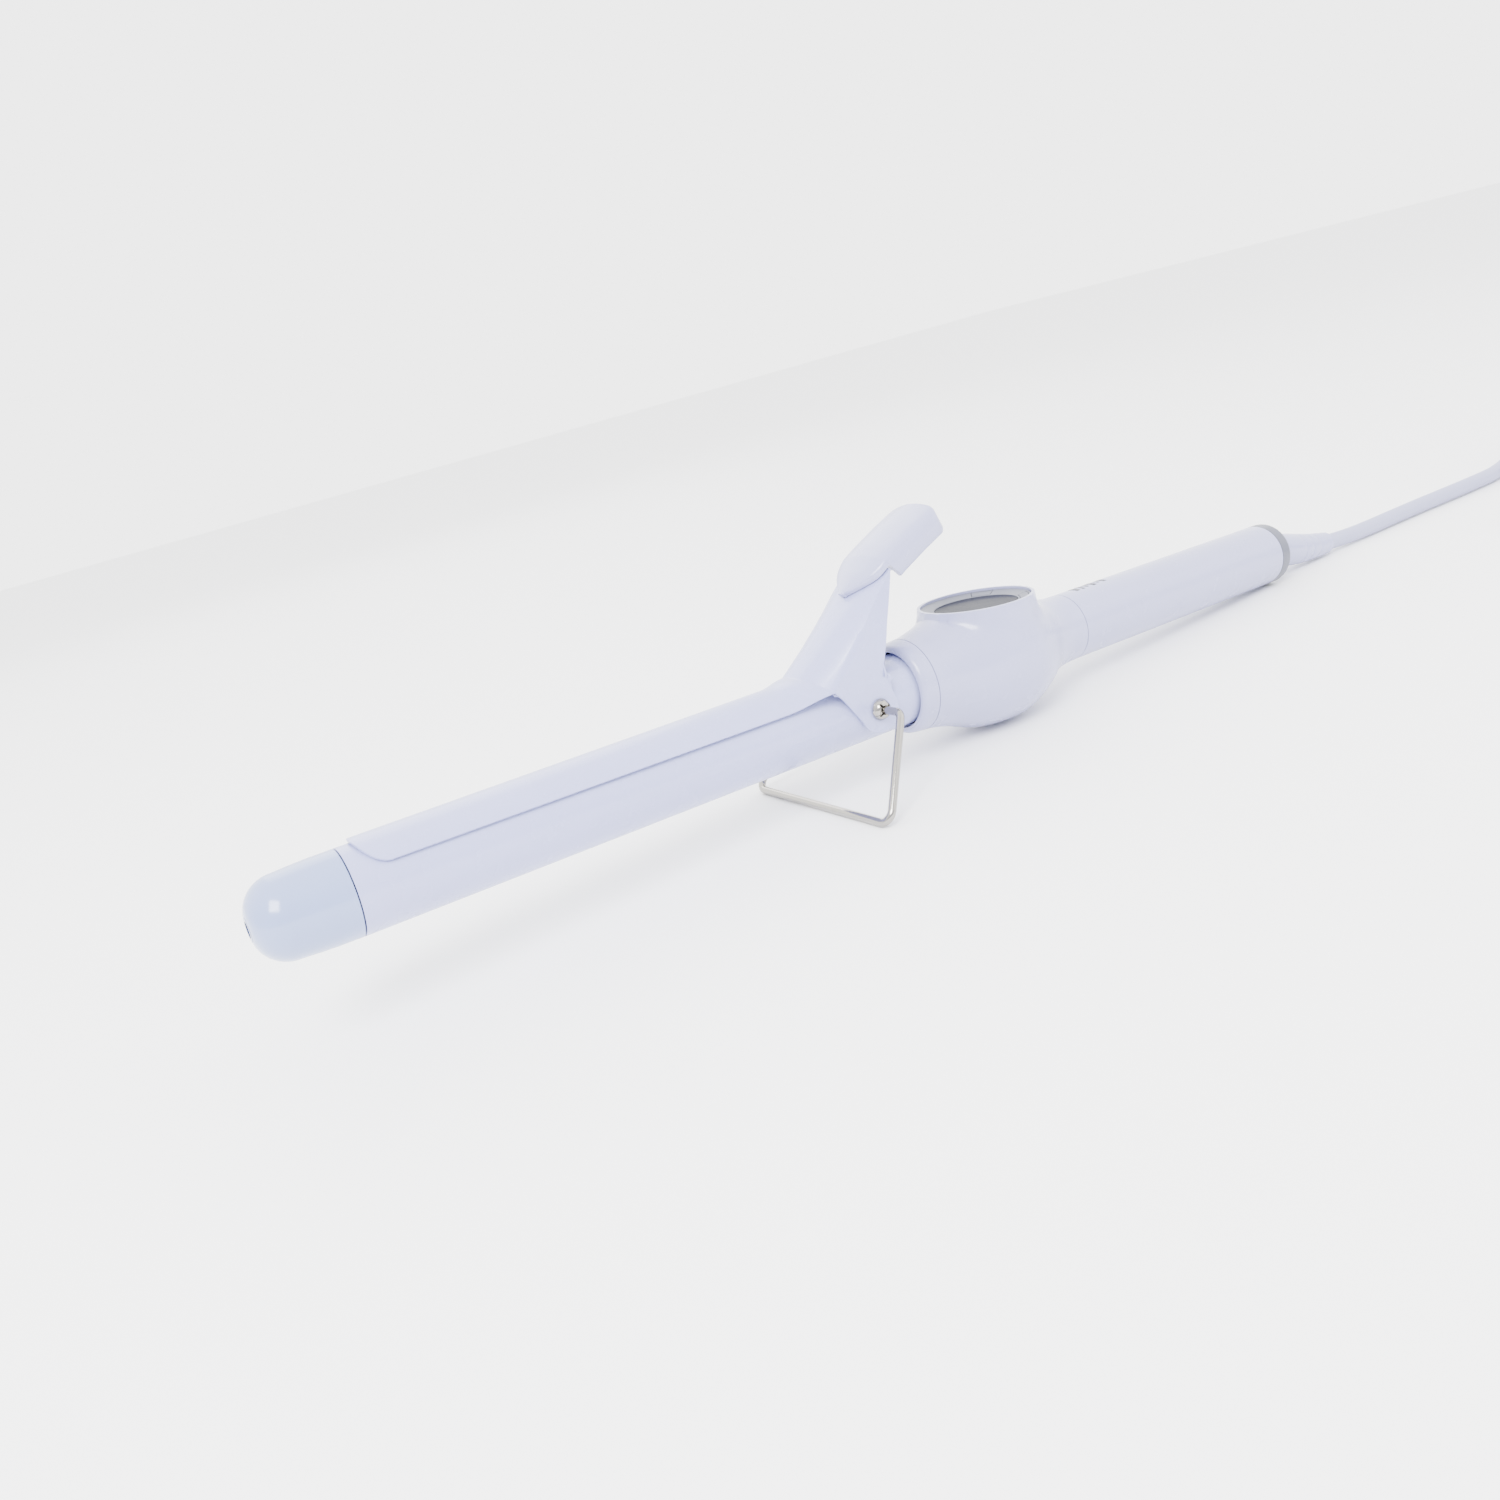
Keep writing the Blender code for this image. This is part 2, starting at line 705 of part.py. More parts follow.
def turret_reach(x, turn, radius, top):
    """How far from the barrel's axis the upright display turret reaches, at one angle."""
    low, high = 0.0, 0.04
    for _ in range(30):
        reach = (low + high) / 2
        flat = math.hypot(x - DISPLAY_X, reach * math.cos(turn)) / radius
        up = max(reach * math.sin(turn), 0.0) / top
        if flat**TURRET_POWER + up**TURRET_POWER < 1:
            low = reach
        else:
            high = reach
    return low


def housing_row(x, count, wall, top):
    """One cross-section of the bulb with the display turret blended into it."""
    body = hermite(BULB_KNOTS, x) - wall
    row = []
    for k in range(count):
        turn = math.tau * k / count - math.pi / 2
        reach = body
        if math.sin(turn) > -0.25:
            turret = turret_reach(x, turn, TURRET_R - wall, top)
            fade = min(1.0, (math.sin(turn) + 0.25) / 0.5)
            joined = (body**BLEND_POWER + turret**BLEND_POWER) ** (1 / BLEND_POWER)
            reach = body + (joined - body) * fade
        row.append((x, reach * math.cos(turn), reach * math.sin(turn)))
    return row


def housing_solid(name, wall, top, overhang, count, sides):
    """The housing's outer form, or with a wall's thickness taken off, its hollow."""
    start, end = HOUSING_START - overhang, HOUSING_END + overhang
    rows = []
    for k in range(count + 1):
        rows.append(housing_row(start + (end - start) * k / count, sides, wall, top))
    piece = loft(name, rows, closed_rows=True)
    bm = bmesh.new()
    bm.from_mesh(piece.data)
    bmesh.ops.holes_fill(bm, edges=bm.edges, sides=0)
    bmesh.ops.recalc_face_normals(bm, faces=bm.faces)
    bm.to_mesh(piece.data)
    bm.free()
    return piece


def bulb_housing():
    piece = housing_solid("bulb_housing", 0.0, TURRET_TOP, 0.0, 26, 40)
    finish(piece, WHITE, AXIS)
    boolean(piece, cutter(housing_solid("housing_hollow", HOUSING_WALL, 0.03, 0.002, 22, 36)))
    boolean(piece, box("housing_top", (0.18, -0.03, RIM_Z), (0.23, 0.03, 0.04)))
    seat = cylinder(
        "display_seat", RING_R + 0.0002, 0.010, (DISPLAY_X, 0.0, 0.0160 + 0.005), (0, 0, 1), sides=48
    )
    boolean(piece, seat)
    shade(piece, 35)


def front_collar():
    edge = 0.0022
    line = [
        (HOUSING_START - CLEAR, 0.01445),
        (0.1716, 0.0143),
        *arc((COLLAR_START + edge, 0.0141 - edge), edge, 90, 180, 4),
        (COLLAR_START, 0.0126),
        (0.1708, 0.0126),
        (0.1708, 0.0114),
        (HOUSING_START - CLEAR, 0.0114),
    ]
    turned("front_collar", line, WHITE, closed=True)


def wedge(name, azimuth, half_angle, inner, outer, low, high):
    """A sector prism about the display's centre, as a cutter."""
    bm = bmesh.new()
    count = 4
    corners = []
    for z in (low, high):
        for radius in (inner, outer):
            for k in range(count + 1):
                turn = azimuth + half_angle * (2 * k / count - 1)
                corners.append(
                    bm.verts.new((radius * math.cos(turn), radius * math.sin(turn), z))
                )
    levels = [corners[: len(corners) // 2], corners[len(corners) // 2:]]
    side = count + 1
    loops = [level[:side] + list(reversed(level[side:])) for level in levels]
    bm.faces.new(list(reversed(loops[0])))
    bm.faces.new(loops[1])
    total = len(loops[0])
    for k in range(total):
        after = (k + 1) % total
        bm.faces.new((loops[0][k], loops[0][after], loops[1][after], loops[1][k]))
    bmesh.ops.recalc_face_normals(bm, faces=bm.faces)
    piece = bmesh_object(name, bm)
    piece.location = (DISPLAY_X, 0.0, 0.0)
    return cutter(piece)


RING_LINE = [
    (0.0181, RING_R), (0.0163, RING_R), (0.0163, RING_INNER_R), (0.0171, RING_INNER_R),
]


def display():
    ring = turned("bezel_ring", RING_LINE, GREY, closed=True, steps=48, upright=True)
    ring.location = (DISPLAY_X, 0.0, 0.0)
    for name, azimuth in KEY_AZIMUTHS.items():
        slot = wedge(
            f"{name}_slot", azimuth, KEY_HALF_ANGLE, RING_INNER_R + 0.0005, RING_R - 0.0006,
            0.0150, 0.0200,
        )
        boolean(ring, slot)
        key = turned(name, RING_LINE, GREY, closed=True, steps=48, upright=True)
        key.location = (DISPLAY_X, 0.0, 0.0)
        body = wedge(
            f"{name}_body", azimuth, KEY_HALF_ANGLE - math.radians(0.9), RING_INNER_R + 0.0007,
            RING_R - 0.0008, 0.0150, 0.0200,
        )
        boolean(key, body, "INTERSECT")
        middle = (RING_INNER_R + RING_R) / 2 - 0.0006
        spot = (
            DISPLAY_X + middle * math.cos(azimuth), middle * math.sin(azimuth), 0.0145
        )
        cylinder(f"{name[:-4]}_switch", 0.0013, 0.0018, spot, (0, 0, 1), BLACK, sides=16)
    cylinder("display_lens", LENS_R, 0.0008, (DISPLAY_X, 0.0, 0.0166), (0, 0, 1), LENS, sides=48)
    box(
        "lcd_panel", (DISPLAY_X - 0.0085, -0.0085, 0.0139), (DISPLAY_X + 0.0085, 0.0085, 0.0159),
        LENS,
    )
    cylinder("display_board", 0.0152, 0.0010, (DISPLAY_X, 0.0, 0.0128), (0, 0, 1), BOARD, sides=32)


# ---------------------------------------------------------------- handle and swivel

def handle():
    tube("handle_tube", HOUSING_END + CLEAR, HANDLE_END, HANDLE_R, HANDLE_R - HANDLE_WALL, WHITE, 56)
    tube("handle_coupling", 0.2345, 0.2520, 0.0086, 0.0070, BLACK, 32)
    box("main_board", (0.2560, -0.0070, -0.0024), (0.3180, 0.0070, -0.0010), BOARD)
    box("film_capacitor", (0.2640, -0.0055, -0.0007), (0.2760, 0.0030, 0.0050), BRASS, bevel=0.0004)
    box("triac", (0.2840, -0.0050, -0.0007), (0.2940, 0.0050, 0.0036), BLACK, bevel=0.0003)
    box("transformer", (0.3000, -0.0055, -0.0007), (0.3120, 0.0055, 0.0058), BLACK, bevel=0.0004)
    for name, side in (("heater_lead_live", 1), ("heater_lead_neutral", -1)):
        route = [
            (0.1390, side * 0.0060, 0.0), (0.1450, side * 0.0048, -0.0064),
            (0.1520, side * 0.0030, -0.0072), (0.1575, side * 0.0022, -0.0024),
            (0.1850, side * 0.0022, 0.0), (0.2200, side * 0.0040, -0.0030),
            (0.2400, side * 0.0040, -0.0030), (0.2555, side * 0.0040, -0.0017),
        ]
        wire(name, smooth_route(route, 0.007), 0.0008, CORD, AXIS, resolution=1)


def end_ring():
    line = [
        *arc((RING_END - RING_EDGE_R, HANDLE_R - RING_EDGE_R), RING_EDGE_R, 0, 90, 4),
        (RING_START, HANDLE_R),
        (RING_START, 0.0055),
        (RING_END, 0.0055),
    ]
    turned("end_ring", line, GREY, closed=True)


def swivel():
    """The turning hub that holds the cord's end, with its two slip rings and their brushes."""
    hub = [
        (RING_END + 0.0006, 0.0),
        (RING_END + 0.0006, 0.0052),
        (RING_START - CLEAR, 0.0052),
        (RING_START - CLEAR, 0.0082),
        (0.3410, 0.0082),
        (0.3410, 0.0030),
        (0.3290, 0.0030),
        (0.3290, 0.0),
    ]
    turned("swivel_hub", hub, BLACK, steps=32)
    for name, start in (("slip_ring_live", 0.3372), ("slip_ring_neutral", 0.3312)):
        tube(name, start, start + 0.0030, 0.0046, 0.0033, BRASS, 24)
    box("brush_holder", (0.3230, -0.0030, -0.0074), (0.3400, 0.0030, -0.0058), BLACK)
    for name, start in (("brush_live", 0.3372), ("brush_neutral", 0.3312)):
        box(
            name, (start + 0.0008, -0.0012, -0.0055), (start + 0.0022, 0.0012, -0.0049), BRASS
        )


# ---------------------------------------------------------------- cord and plug

def world(x, z):
    """A point of the iron's axis frame, at y = 0, in world metres."""
    return (
        ORIGIN_X + x * math.cos(TILT) + z * math.sin(TILT),
        0.0,
        LIFT - x * math.sin(TILT) + z * math.cos(TILT),
    )


EXIT = world(RING_END + 0.0016, 0.0)
FLOOR_Z = CORD_R + 0.0002
GUARD_ROUTE = [(0.0, 0.0, 0.0), (0.0036, 0.0, -0.0004), (0.0080, 0.0, -0.0016), (0.0165, -0.0003, -0.0038),
               (0.0250, -0.0009, -0.0054), (0.0340, -0.0018, -0.0065)]
GUARD_RADII = [0.0059, 0.0062, 0.0058, 0.0050, 0.0040]
CORD_ROUTE = [(0.0343, -0.0018, -0.0065), (0.0440, -0.0030, -0.0073), (0.0560, -0.0042, None),
              (0.0720, -0.0058, None), (0.0880, -0.0075, None), (0.1040, -0.0096, None),
              (0.1200, -0.0116, None), (0.1350, -0.0128, None), (0.1480, -0.0114, None),
              (0.1600, -0.0085, None)]
HANK_X = 0.1650
HANK_Y = 0.0
HANK_STRAIGHT = 0.060
OUTER_TRACK_R = 0.0300
HANK_WIDTH = 2 * (OUTER_TRACK_R + CORD_R) + 0.0004
HANK_RUN = HANK_STRAIGHT + HANK_WIDTH
HANK_LOW = 0.0010
HANK_HIGH = 0.0134
RUN_MOUTH = 0.0105
TAIL_MOUTH = 0.0139
TIE_T = 0.0007
TIE_WIDTH = 0.009


def cord():
    ex, _, ez = EXIT
    guard = [(ex + x, y, ez + z) for x, y, z in GUARD_ROUTE]
    fine = smooth_route(guard, 0.0042)
    taper = [(k / (len(GUARD_RADII) - 1), r) for k, r in enumerate(GUARD_RADII)]
    radii = [hermite(taper, k / (len(fine) - 1)) / CORD_R for k in range(len(fine))]
    wire("cord_guard", fine, CORD_R, WHITE, radii=radii, resolution=3)
    route = []
    for x, y, z in CORD_ROUTE:
        route.append((ex + x, y, FLOOR_Z if z is None else max(ez + z, FLOOR_Z)))
    route.append((ex + HANK_X + RUN_MOUTH - CLEAR, -0.0051, FLOOR_Z + CLEAR))
    wire("cord_run", smooth_route(route, 0.011), CORD_R, CORD)
    low = Vector((ex + HANK_X, HANK_Y - HANK_WIDTH, 0.0))
    hank(low)
    tie(low)
    plug(low)


def rounded_outline(half_x, half_y, radius, count):
    """The corners of a rectangle with round ends or corners, centred on the origin."""
    found = []
    for k, (sx, sy) in enumerate(((1, 1), (-1, 1), (-1, -1), (1, -1))):
        for j in range(count + 1):
            turn = math.pi / 2 * (k + j / count)
            found.append((
                sx * (half_x - radius) + radius * math.cos(turn),
                sy * (half_y - radius) + radius * math.sin(turn),
            ))
    return found


def flat_shape(name, outlines, thickness, finish_material):
    """A filled 2D curve; an outline inside another is a hole."""
    curve = bpy.data.curves.new(name, "CURVE")
    curve.dimensions = "2D"
    curve.fill_mode = "BOTH"
    curve.extrude = thickness / 2
    for outline in outlines:
        spline = curve.splines.new("POLY")
        spline.points.add(len(outline) - 1)
        for k, (x, y) in enumerate(outline):
            spline.points[k].co = (x, y, 0.0, 1.0)
        spline.use_cyclic_u = True
    return finish(bpy.data.objects.new(name, curve), finish_material)


def hank(low):
    """The outer shape of the tied hank that the rest of the cord is folded into."""
    outline = rounded_outline(HANK_RUN / 2, HANK_WIDTH / 2, HANK_WIDTH / 2 - 0.0001, 6)
    piece = flat_shape("cord_hank", [outline], HANK_HIGH - HANK_LOW, CORD)
    piece.location = low + Vector((HANK_RUN / 2, HANK_WIDTH / 2, (HANK_LOW + HANK_HIGH) / 2))


def tie(low):
    """The band round the hank's middle."""
    half_y, half_z = HANK_WIDTH / 2 + CLEAR, (HANK_HIGH - HANK_LOW) / 2 + CLEAR
    inner = rounded_outline(half_y, half_z, 0.0004, 1)
    outer = rounded_outline(half_y + TIE_T, half_z + TIE_T, 0.0010, 3)
    piece = flat_shape("cord_tie", [outer, inner], TIE_WIDTH, BLACK)
    piece.rotation_euler = (math.pi / 2, 0.0, math.pi / 2)
    piece.location = low + Vector((HANK_RUN / 2, HANK_WIDTH / 2, (HANK_LOW + HANK_HIGH) / 2))


def plug(low):
    """The cord's last stretch out of the hank, and its flat two-blade plug on the floor."""
    y = low.y + HANK_WIDTH / 2 - OUTER_TRACK_R
    end = low.x + HANK_WIDTH / 2
    route = [(low.x + TAIL_MOUTH - CLEAR, y, 0.0102), (end - 0.0300, y, 0.0101),
             (end - 0.0400, y - 0.0002, 0.0094), (end - 0.0500, y - 0.0005, 0.0082),
             (end - 0.0580, y - 0.0006, 0.0073), (end - 0.0640, y - 0.0006, 0.0070)]
    wire("cord_tail", smooth_route(route, 0.009), CORD_R, CORD)
    back = end - 0.0640 - CLEAR
    body = [(0.0, 0.0038, 0.0038, 2), (0.016, 0.0046, 0.0046, 2), (0.021, 0.0100, 0.0058, 3),
            (0.026, 0.0118, 0.0066, 4), (0.040, 0.0126, 0.0066, 4), (0.0425, 0.0118, 0.0060, 4)]
    rows = []
    for run, half_y, half_z, power in body:
        row = []
        for k in range(24):
            turn = math.tau * k / 24
            c, s = math.cos(turn), math.sin(turn)
            row.append((
                back - run,
                y - 0.0006 + half_y * math.copysign(abs(c) ** (2 / power), c),
                0.0070 + half_z * math.copysign(abs(s) ** (2 / power), s),
            ))
        rows.append(row)
    finish(capped(loft("plug_body", rows, closed_rows=True)), CORD)
    front = back - 0.0425 - CLEAR
    for name, side in (("plug_blade_live", 1), ("plug_blade_neutral", -1)):
        middle = y - 0.0006 + side * 0.00635
        box(
            name, (front - 0.0175, middle - 0.00075, 0.0070 - 0.0032),
            (front, middle + 0.00075, 0.0070 + 0.0032), NICKEL, parent=None, bevel=0.0004,
        )


# ---------------------------------------------------------------- the whole iron

def build():
    cool_tip()
    tip_screw()
    barrel()
    heater()
    pivot_block()
    barrel_holder()
    clip()
    thumb_rest()
    clip_spring()
    pivot_screws()
    stand()
    bulb_housing()
    front_collar()
    display()
    handle()
    end_ring()
    swivel()
    cord()


build()
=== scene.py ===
"""Looks for a curling iron: finishes, fine shells, the mains cord in its hank, and the stage."""

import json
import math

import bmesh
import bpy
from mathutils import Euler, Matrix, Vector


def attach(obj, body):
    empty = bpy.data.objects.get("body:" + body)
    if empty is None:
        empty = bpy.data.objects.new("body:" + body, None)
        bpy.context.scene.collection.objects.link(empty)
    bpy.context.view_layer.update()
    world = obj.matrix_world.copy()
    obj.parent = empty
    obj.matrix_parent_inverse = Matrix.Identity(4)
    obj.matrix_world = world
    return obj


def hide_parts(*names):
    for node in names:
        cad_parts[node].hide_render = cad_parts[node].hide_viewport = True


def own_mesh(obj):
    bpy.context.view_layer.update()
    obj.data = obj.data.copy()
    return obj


bl_info = {
    "name": "Curling Iron Looks",
    "version": (1, 0, 0),
    "blender": (4, 5, 0),
    "location": "View3D > Sidebar > Curling Iron",
    "description": "Builds the finishes, fine shells and cord of a curling iron around its frame",
    "category": "Object",
}

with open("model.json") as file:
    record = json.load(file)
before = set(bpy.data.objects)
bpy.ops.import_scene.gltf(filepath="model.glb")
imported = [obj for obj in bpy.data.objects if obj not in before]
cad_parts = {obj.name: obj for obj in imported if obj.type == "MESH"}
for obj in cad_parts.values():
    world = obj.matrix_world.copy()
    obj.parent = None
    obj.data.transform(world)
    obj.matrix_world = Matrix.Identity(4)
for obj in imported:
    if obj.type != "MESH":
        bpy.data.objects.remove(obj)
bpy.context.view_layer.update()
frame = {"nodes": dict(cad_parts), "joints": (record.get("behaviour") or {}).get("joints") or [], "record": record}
NODES = frame["nodes"]
JOINTS = {joint["name"]: joint for joint in frame["joints"]}

# The gap left between parts that sit against each other
CLEAR = 0.0003

# Barrel, tip and pivot, in metres along and about the barrel's axis
BARREL_R = 0.011
BARREL_WALL = 0.0008
TIP_LENGTH = 0.0227
TIP_NOSE_R = 0.0046
TIP_HOLE_R = 0.0016
TIP_WALL = 0.0022
TIP_CURVE_R = 0.0084
TIP_EDGE = 0.00012
TIP_INSIDE = [(-0.0120, 0.0085), (-0.0015, BARREL_R - TIP_WALL)]
PIVOT_X = 0.1525
SHANK_R = 0.0015
SCREW_HEAD_R = 0.0032
SCREW_TOP = 0.0146
SCREW_SEAT = 0.0126
SCREW_END = 0.0062
RECESS = (0.0048, 0.0007, 0.0012)
RECESS_Z = 0.0143
RECESS_TURN = math.radians(35)

# Clip and lever
SHEET = 0.0008
CLIP_START = 0.0035
CLIP_EDGE = 0.00018
TONGUE = 0.0065
CLIP_INNER_R = 0.01135
CLIP_HALF_ANGLE = math.radians(54)
CLIP_WIDENING = math.radians(5)
CLIP_LIFT = 0.0010
LEVER_START = 0.123
LEVER_LEAN = math.radians(44)
EAR_Y = 0.0119
EAR_R = 0.0068
ARCH_COLUMNS = 32
SIDE_COLUMNS = 10

# Thumb rest
HOOD_SPINE = [(0.1544, 0.0331), (0.1595, 0.0381), (0.1640, 0.0420), (0.1680, 0.0443),
              (0.1770, 0.0487), (0.1860, 0.0527)]
HOOD_HALF = 0.0102
HOOD_NOSE = 0.0125
HOOD_SKIRT = 0.0083
HOOD_CROWN = 0.0015
HOOD_PLATE = 0.0024
HOOD_WALL = 0.0017
HOOD_COLUMNS = 16

# Wire stand
WIRE_R = 0.0012
LEG_TOP_Y = 0.0214
FOOT_X = 0.1337
FOOT_Y = 0.0330
FOOT_Z = -0.0251
STAND_BEND_R = 0.0030
WIRE_END_Y = 0.0129

# Bulb housing and handle
HOUSING_START = 0.1736
HOUSING_END = 0.2410
HOUSING_WALL = 0.0022
DISPLAY_X = 0.2052
RIM_Z = 0.0188
TURRET_R = 0.0185
RING_R = 0.0171
SEAT_Z = 0.0156
HANDLE_R = 0.01115
RING_END = 0.3510
BULB_KNOTS = [
    (HOUSING_START, 0.01445), (0.1771, 0.0148), (0.1848, 0.0166), (0.1936, 0.0197), (0.2024, 0.0210),
    (0.2112, 0.0207), (0.2200, 0.0175), (0.2277, 0.0134), (0.2343, 0.0116), (HOUSING_END, HANDLE_R),
]
TURRET_TOP = RIM_Z + 0.0030
TURRET_POWER = 12
BLEND_POWER = 14

# Cord: its route's points are measured from its exit
CORD_R = 0.0030
FLOOR_Z = CORD_R + 0.0002
GUARD_ROUTE = [(0.0, 0.0, 0.0), (0.0036, 0.0, -0.0004), (0.0080, 0.0, -0.0016), (0.0165, -0.0003, -0.0038),
               (0.0250, -0.0009, -0.0054), (0.0340, -0.0018, -0.0065)]
GUARD_RADII = [0.0059, 0.0062, 0.0058, 0.0050, 0.0040]
CORD_ROUTE = [(0.0440, -0.0030, -0.0073), (0.0560, -0.0042, None), (0.0720, -0.0058, None),
              (0.0880, -0.0075, None), (0.1040, -0.0096, None), (0.1200, -0.0116, None),
              (0.1350, -0.0128, None), (0.1480, -0.0114, None), (0.1600, -0.0085, None)]
HANK_X = 0.1650
HANK_Y = 0.0
HANK_STRAIGHT = 0.060
RUN_MOUTH = 0.0105
TRACKS = (0.030, 0.024, 0.018)
LAYERS = (0.0042, 0.0102)
HANK_WIDTH = 2 * (TRACKS[0] + CORD_R) + 0.0004
ARC_POINTS = 18
TAIL_LENGTH = 0.0640
PLUG_Y = 0.0006
PLUG_Z = 0.0070

# The camera, in the iron's own frame
CAMERA_PLACE = (-0.048929, -0.280007, 0.088875)
CAMERA_TURN = (74.08542, 11.13989, -33.41705)
CAMERA_LENS = 28.8

# The studio: bright behind and above the iron, and dimmer on the camera's side
WORLD_STRENGTH = 4.2
STUDIO_BACK = (0.42, 0.75, 0.51)


def axis_frame():
    """The iron's own frame: +X along the barrel towards the cord, +Z on the lever's side."""
    along_x, _, along_z = JOINTS["cord_swivel"]["axis"]
    turn = Matrix.Rotation(-math.atan2(along_z, along_x), 4, "Y")
    pivot = Vector(JOINTS["clip_hinge"]["pos_m"])
    return Matrix.Translation(pivot - turn @ Vector((PIVOT_X, 0.0, 0.0))) @ turn


IRON = axis_frame()
PIVOT = IRON @ Matrix.Translation((PIVOT_X, 0.0, 0.0))
EXIT = IRON @ Vector((RING_END + 0.0016, 0.0, 0.0))


# ---------------------------------------------------------------- properties

class CurlingIronSizes(bpy.types.PropertyGroup):
    """Sizes that a user may change before building."""

    floor_size: bpy.props.FloatProperty(
        name="Floor size", description="Side of the square floor", default=12.0, min=1.0,
        unit="LENGTH", subtype="DISTANCE",
    )
    key_light: bpy.props.FloatProperty(
        name="Key light", description="Power of the large soft light", default=50.0,
        min=0.0, unit="POWER",
    )
    fill_light: bpy.props.FloatProperty(
        name="Fill light", description="Power of the light from the other side", default=7.0,
        min=0.0, unit="POWER",
    )
    mark_height: bpy.props.FloatProperty(
        name="Print thickness", description="How far the printed marks stand proud",
        default=0.00005, min=0.00001, unit="LENGTH", subtype="DISTANCE",
    )


class CurlingIronColours(bpy.types.PropertyGroup):
    """Main colours of the finishes."""

    shell: bpy.props.FloatVectorProperty(
        name="Shell white", description="Colour of the handle, bulb and thumb rest",
        default=(0.32, 0.33, 0.53), subtype="COLOR", size=3, min=0.0, max=1.0,
    )
    tip: bpy.props.FloatVectorProperty(
        name="Tip white", description="Colour of the cool tip",
        default=(0.23, 0.29, 0.51), subtype="COLOR", size=3, min=0.0, max=1.0,
    )
    coating: bpy.props.FloatVectorProperty(
        name="Coating white", description="Colour of the coated barrel and clip",
        default=(0.33, 0.35, 0.60), subtype="COLOR", size=3, min=0.0, max=1.0,
    )
    trim: bpy.props.FloatVectorProperty(
        name="Trim grey", description="Colour of the display's ring and the end ring",
        default=(0.09, 0.095, 0.13), subtype="COLOR", size=3, min=0.0, max=1.0,
    )
    cord: bpy.props.FloatVectorProperty(
        name="Cord white", description="Colour of the mains cord's jacket",
        default=(0.33, 0.34, 0.50), subtype="COLOR", size=3, min=0.0, max=1.0,
    )


# ---------------------------------------------------------------- finishes

def node_after(tree, kind, **values):
    """Add a node with values for its named inputs."""
    made = tree.nodes.new(kind)
    for name, value in values.items():
        made.inputs[name.replace("_", " ")].default_value = value
    return made


def finish(name, colour, roughness, metallic=0.0, grain=0.0006, depth=0.00001, mottle=0.03,
           spread=0.06, coat=0.0, specular=0.5, stretch=(1.0, 1.0, 1.0)):
    """A surface with a soft cloud in its colour, uneven gloss and a fine grain in relief."""
    made = bpy.data.materials.new(name)
    made.use_nodes = True
    tree = made.node_tree
    shader = tree.nodes["Principled BSDF"]
    shader.inputs["Metallic"].default_value = metallic
    shader.inputs["Coat Weight"].default_value = coat
    shader.inputs["Specular IOR Level"].default_value = specular
    shader.inputs["Coat Roughness"].default_value = 0.12
    place = tree.nodes.new("ShaderNodeTexCoord")
    scale = tree.nodes.new("ShaderNodeMapping")
    scale.inputs["Scale"].default_value = stretch
    tree.links.new(place.outputs["Object"], scale.inputs["Vector"])
    cloud = node_after(tree, "ShaderNodeTexNoise", Scale=45.0, Detail=3.0, Roughness=0.6)
    tree.links.new(scale.outputs["Vector"], cloud.inputs["Vector"])
    tint = tree.nodes.new("ShaderNodeValToRGB")
    tint.color_ramp.elements[0].position = 0.3
    tint.color_ramp.elements[0].color = (*[c * (1 - mottle) for c in colour], 1.0)
    tint.color_ramp.elements[1].position = 0.7
    tint.color_ramp.elements[1].color = (*[min(c * (1 + mottle), 1.0) for c in colour], 1.0)
    tree.links.new(cloud.outputs["Fac"], tint.inputs["Fac"])
    tree.links.new(tint.outputs["Color"], shader.inputs["Base Color"])
    smudge = node_after(tree, "ShaderNodeTexNoise", Scale=160.0, Detail=4.0, Roughness=0.55)
    tree.links.new(scale.outputs["Vector"], smudge.inputs["Vector"])
    gloss = tree.nodes.new("ShaderNodeMapRange")
    gloss.inputs["From Min"].default_value = 0.3
    gloss.inputs["From Max"].default_value = 0.7
    gloss.inputs["To Min"].default_value = max(roughness - spread, 0.02)
    gloss.inputs["To Max"].default_value = roughness + spread
    tree.links.new(smudge.outputs["Fac"], gloss.inputs["Value"])
    tree.links.new(gloss.outputs["Result"], shader.inputs["Roughness"])
    pores = node_after(tree, "ShaderNodeTexNoise", Scale=1.0 / grain, Detail=2.0, Roughness=0.5)
    tree.links.new(scale.outputs["Vector"], pores.inputs["Vector"])
    relief = node_after(tree, "ShaderNodeBump", Strength=0.35, Distance=depth)
    tree.links.new(pores.outputs["Fac"], relief.inputs["Height"])
    tree.links.new(relief.outputs["Normal"], shader.inputs["Normal"])
    return made


def shell_plastic():
    colour = tuple(bpy.context.scene.curling_iron_colours.shell)
    return finish("white_plastic", colour, 0.24, grain=0.00035, depth=0.000006, mottle=0.010, coat=0.35)


def tip_plastic():
    colour = tuple(bpy.context.scene.curling_iron_colours.tip)
    return finish("cool_tip_plastic", colour, 0.20, grain=0.0008, depth=0.000004, mottle=0.012, coat=0.4)


def coated_metal():
    colour = tuple(bpy.context.scene.curling_iron_colours.coating)
    return finish("white_coated_metal", colour, 0.26, grain=0.0005, depth=0.000008, mottle=0.012, coat=0.3)


def trim_plastic():
    colour = tuple(bpy.context.scene.curling_iron_colours.trim)
    return finish("grey_plastic", colour, 0.38, grain=0.00030, depth=0.000008, mottle=0.03)


def lens_plastic():
    return finish("display_lens", (0.018, 0.019, 0.028), 0.16, grain=0.002, depth=0.000002, mottle=0.08,
                  spread=0.03, specular=0.008)


def nickel():
    return finish("nickel_steel", (0.33, 0.315, 0.29), 0.12, 1.0, grain=0.0004, depth=0.000005, mottle=0.05)


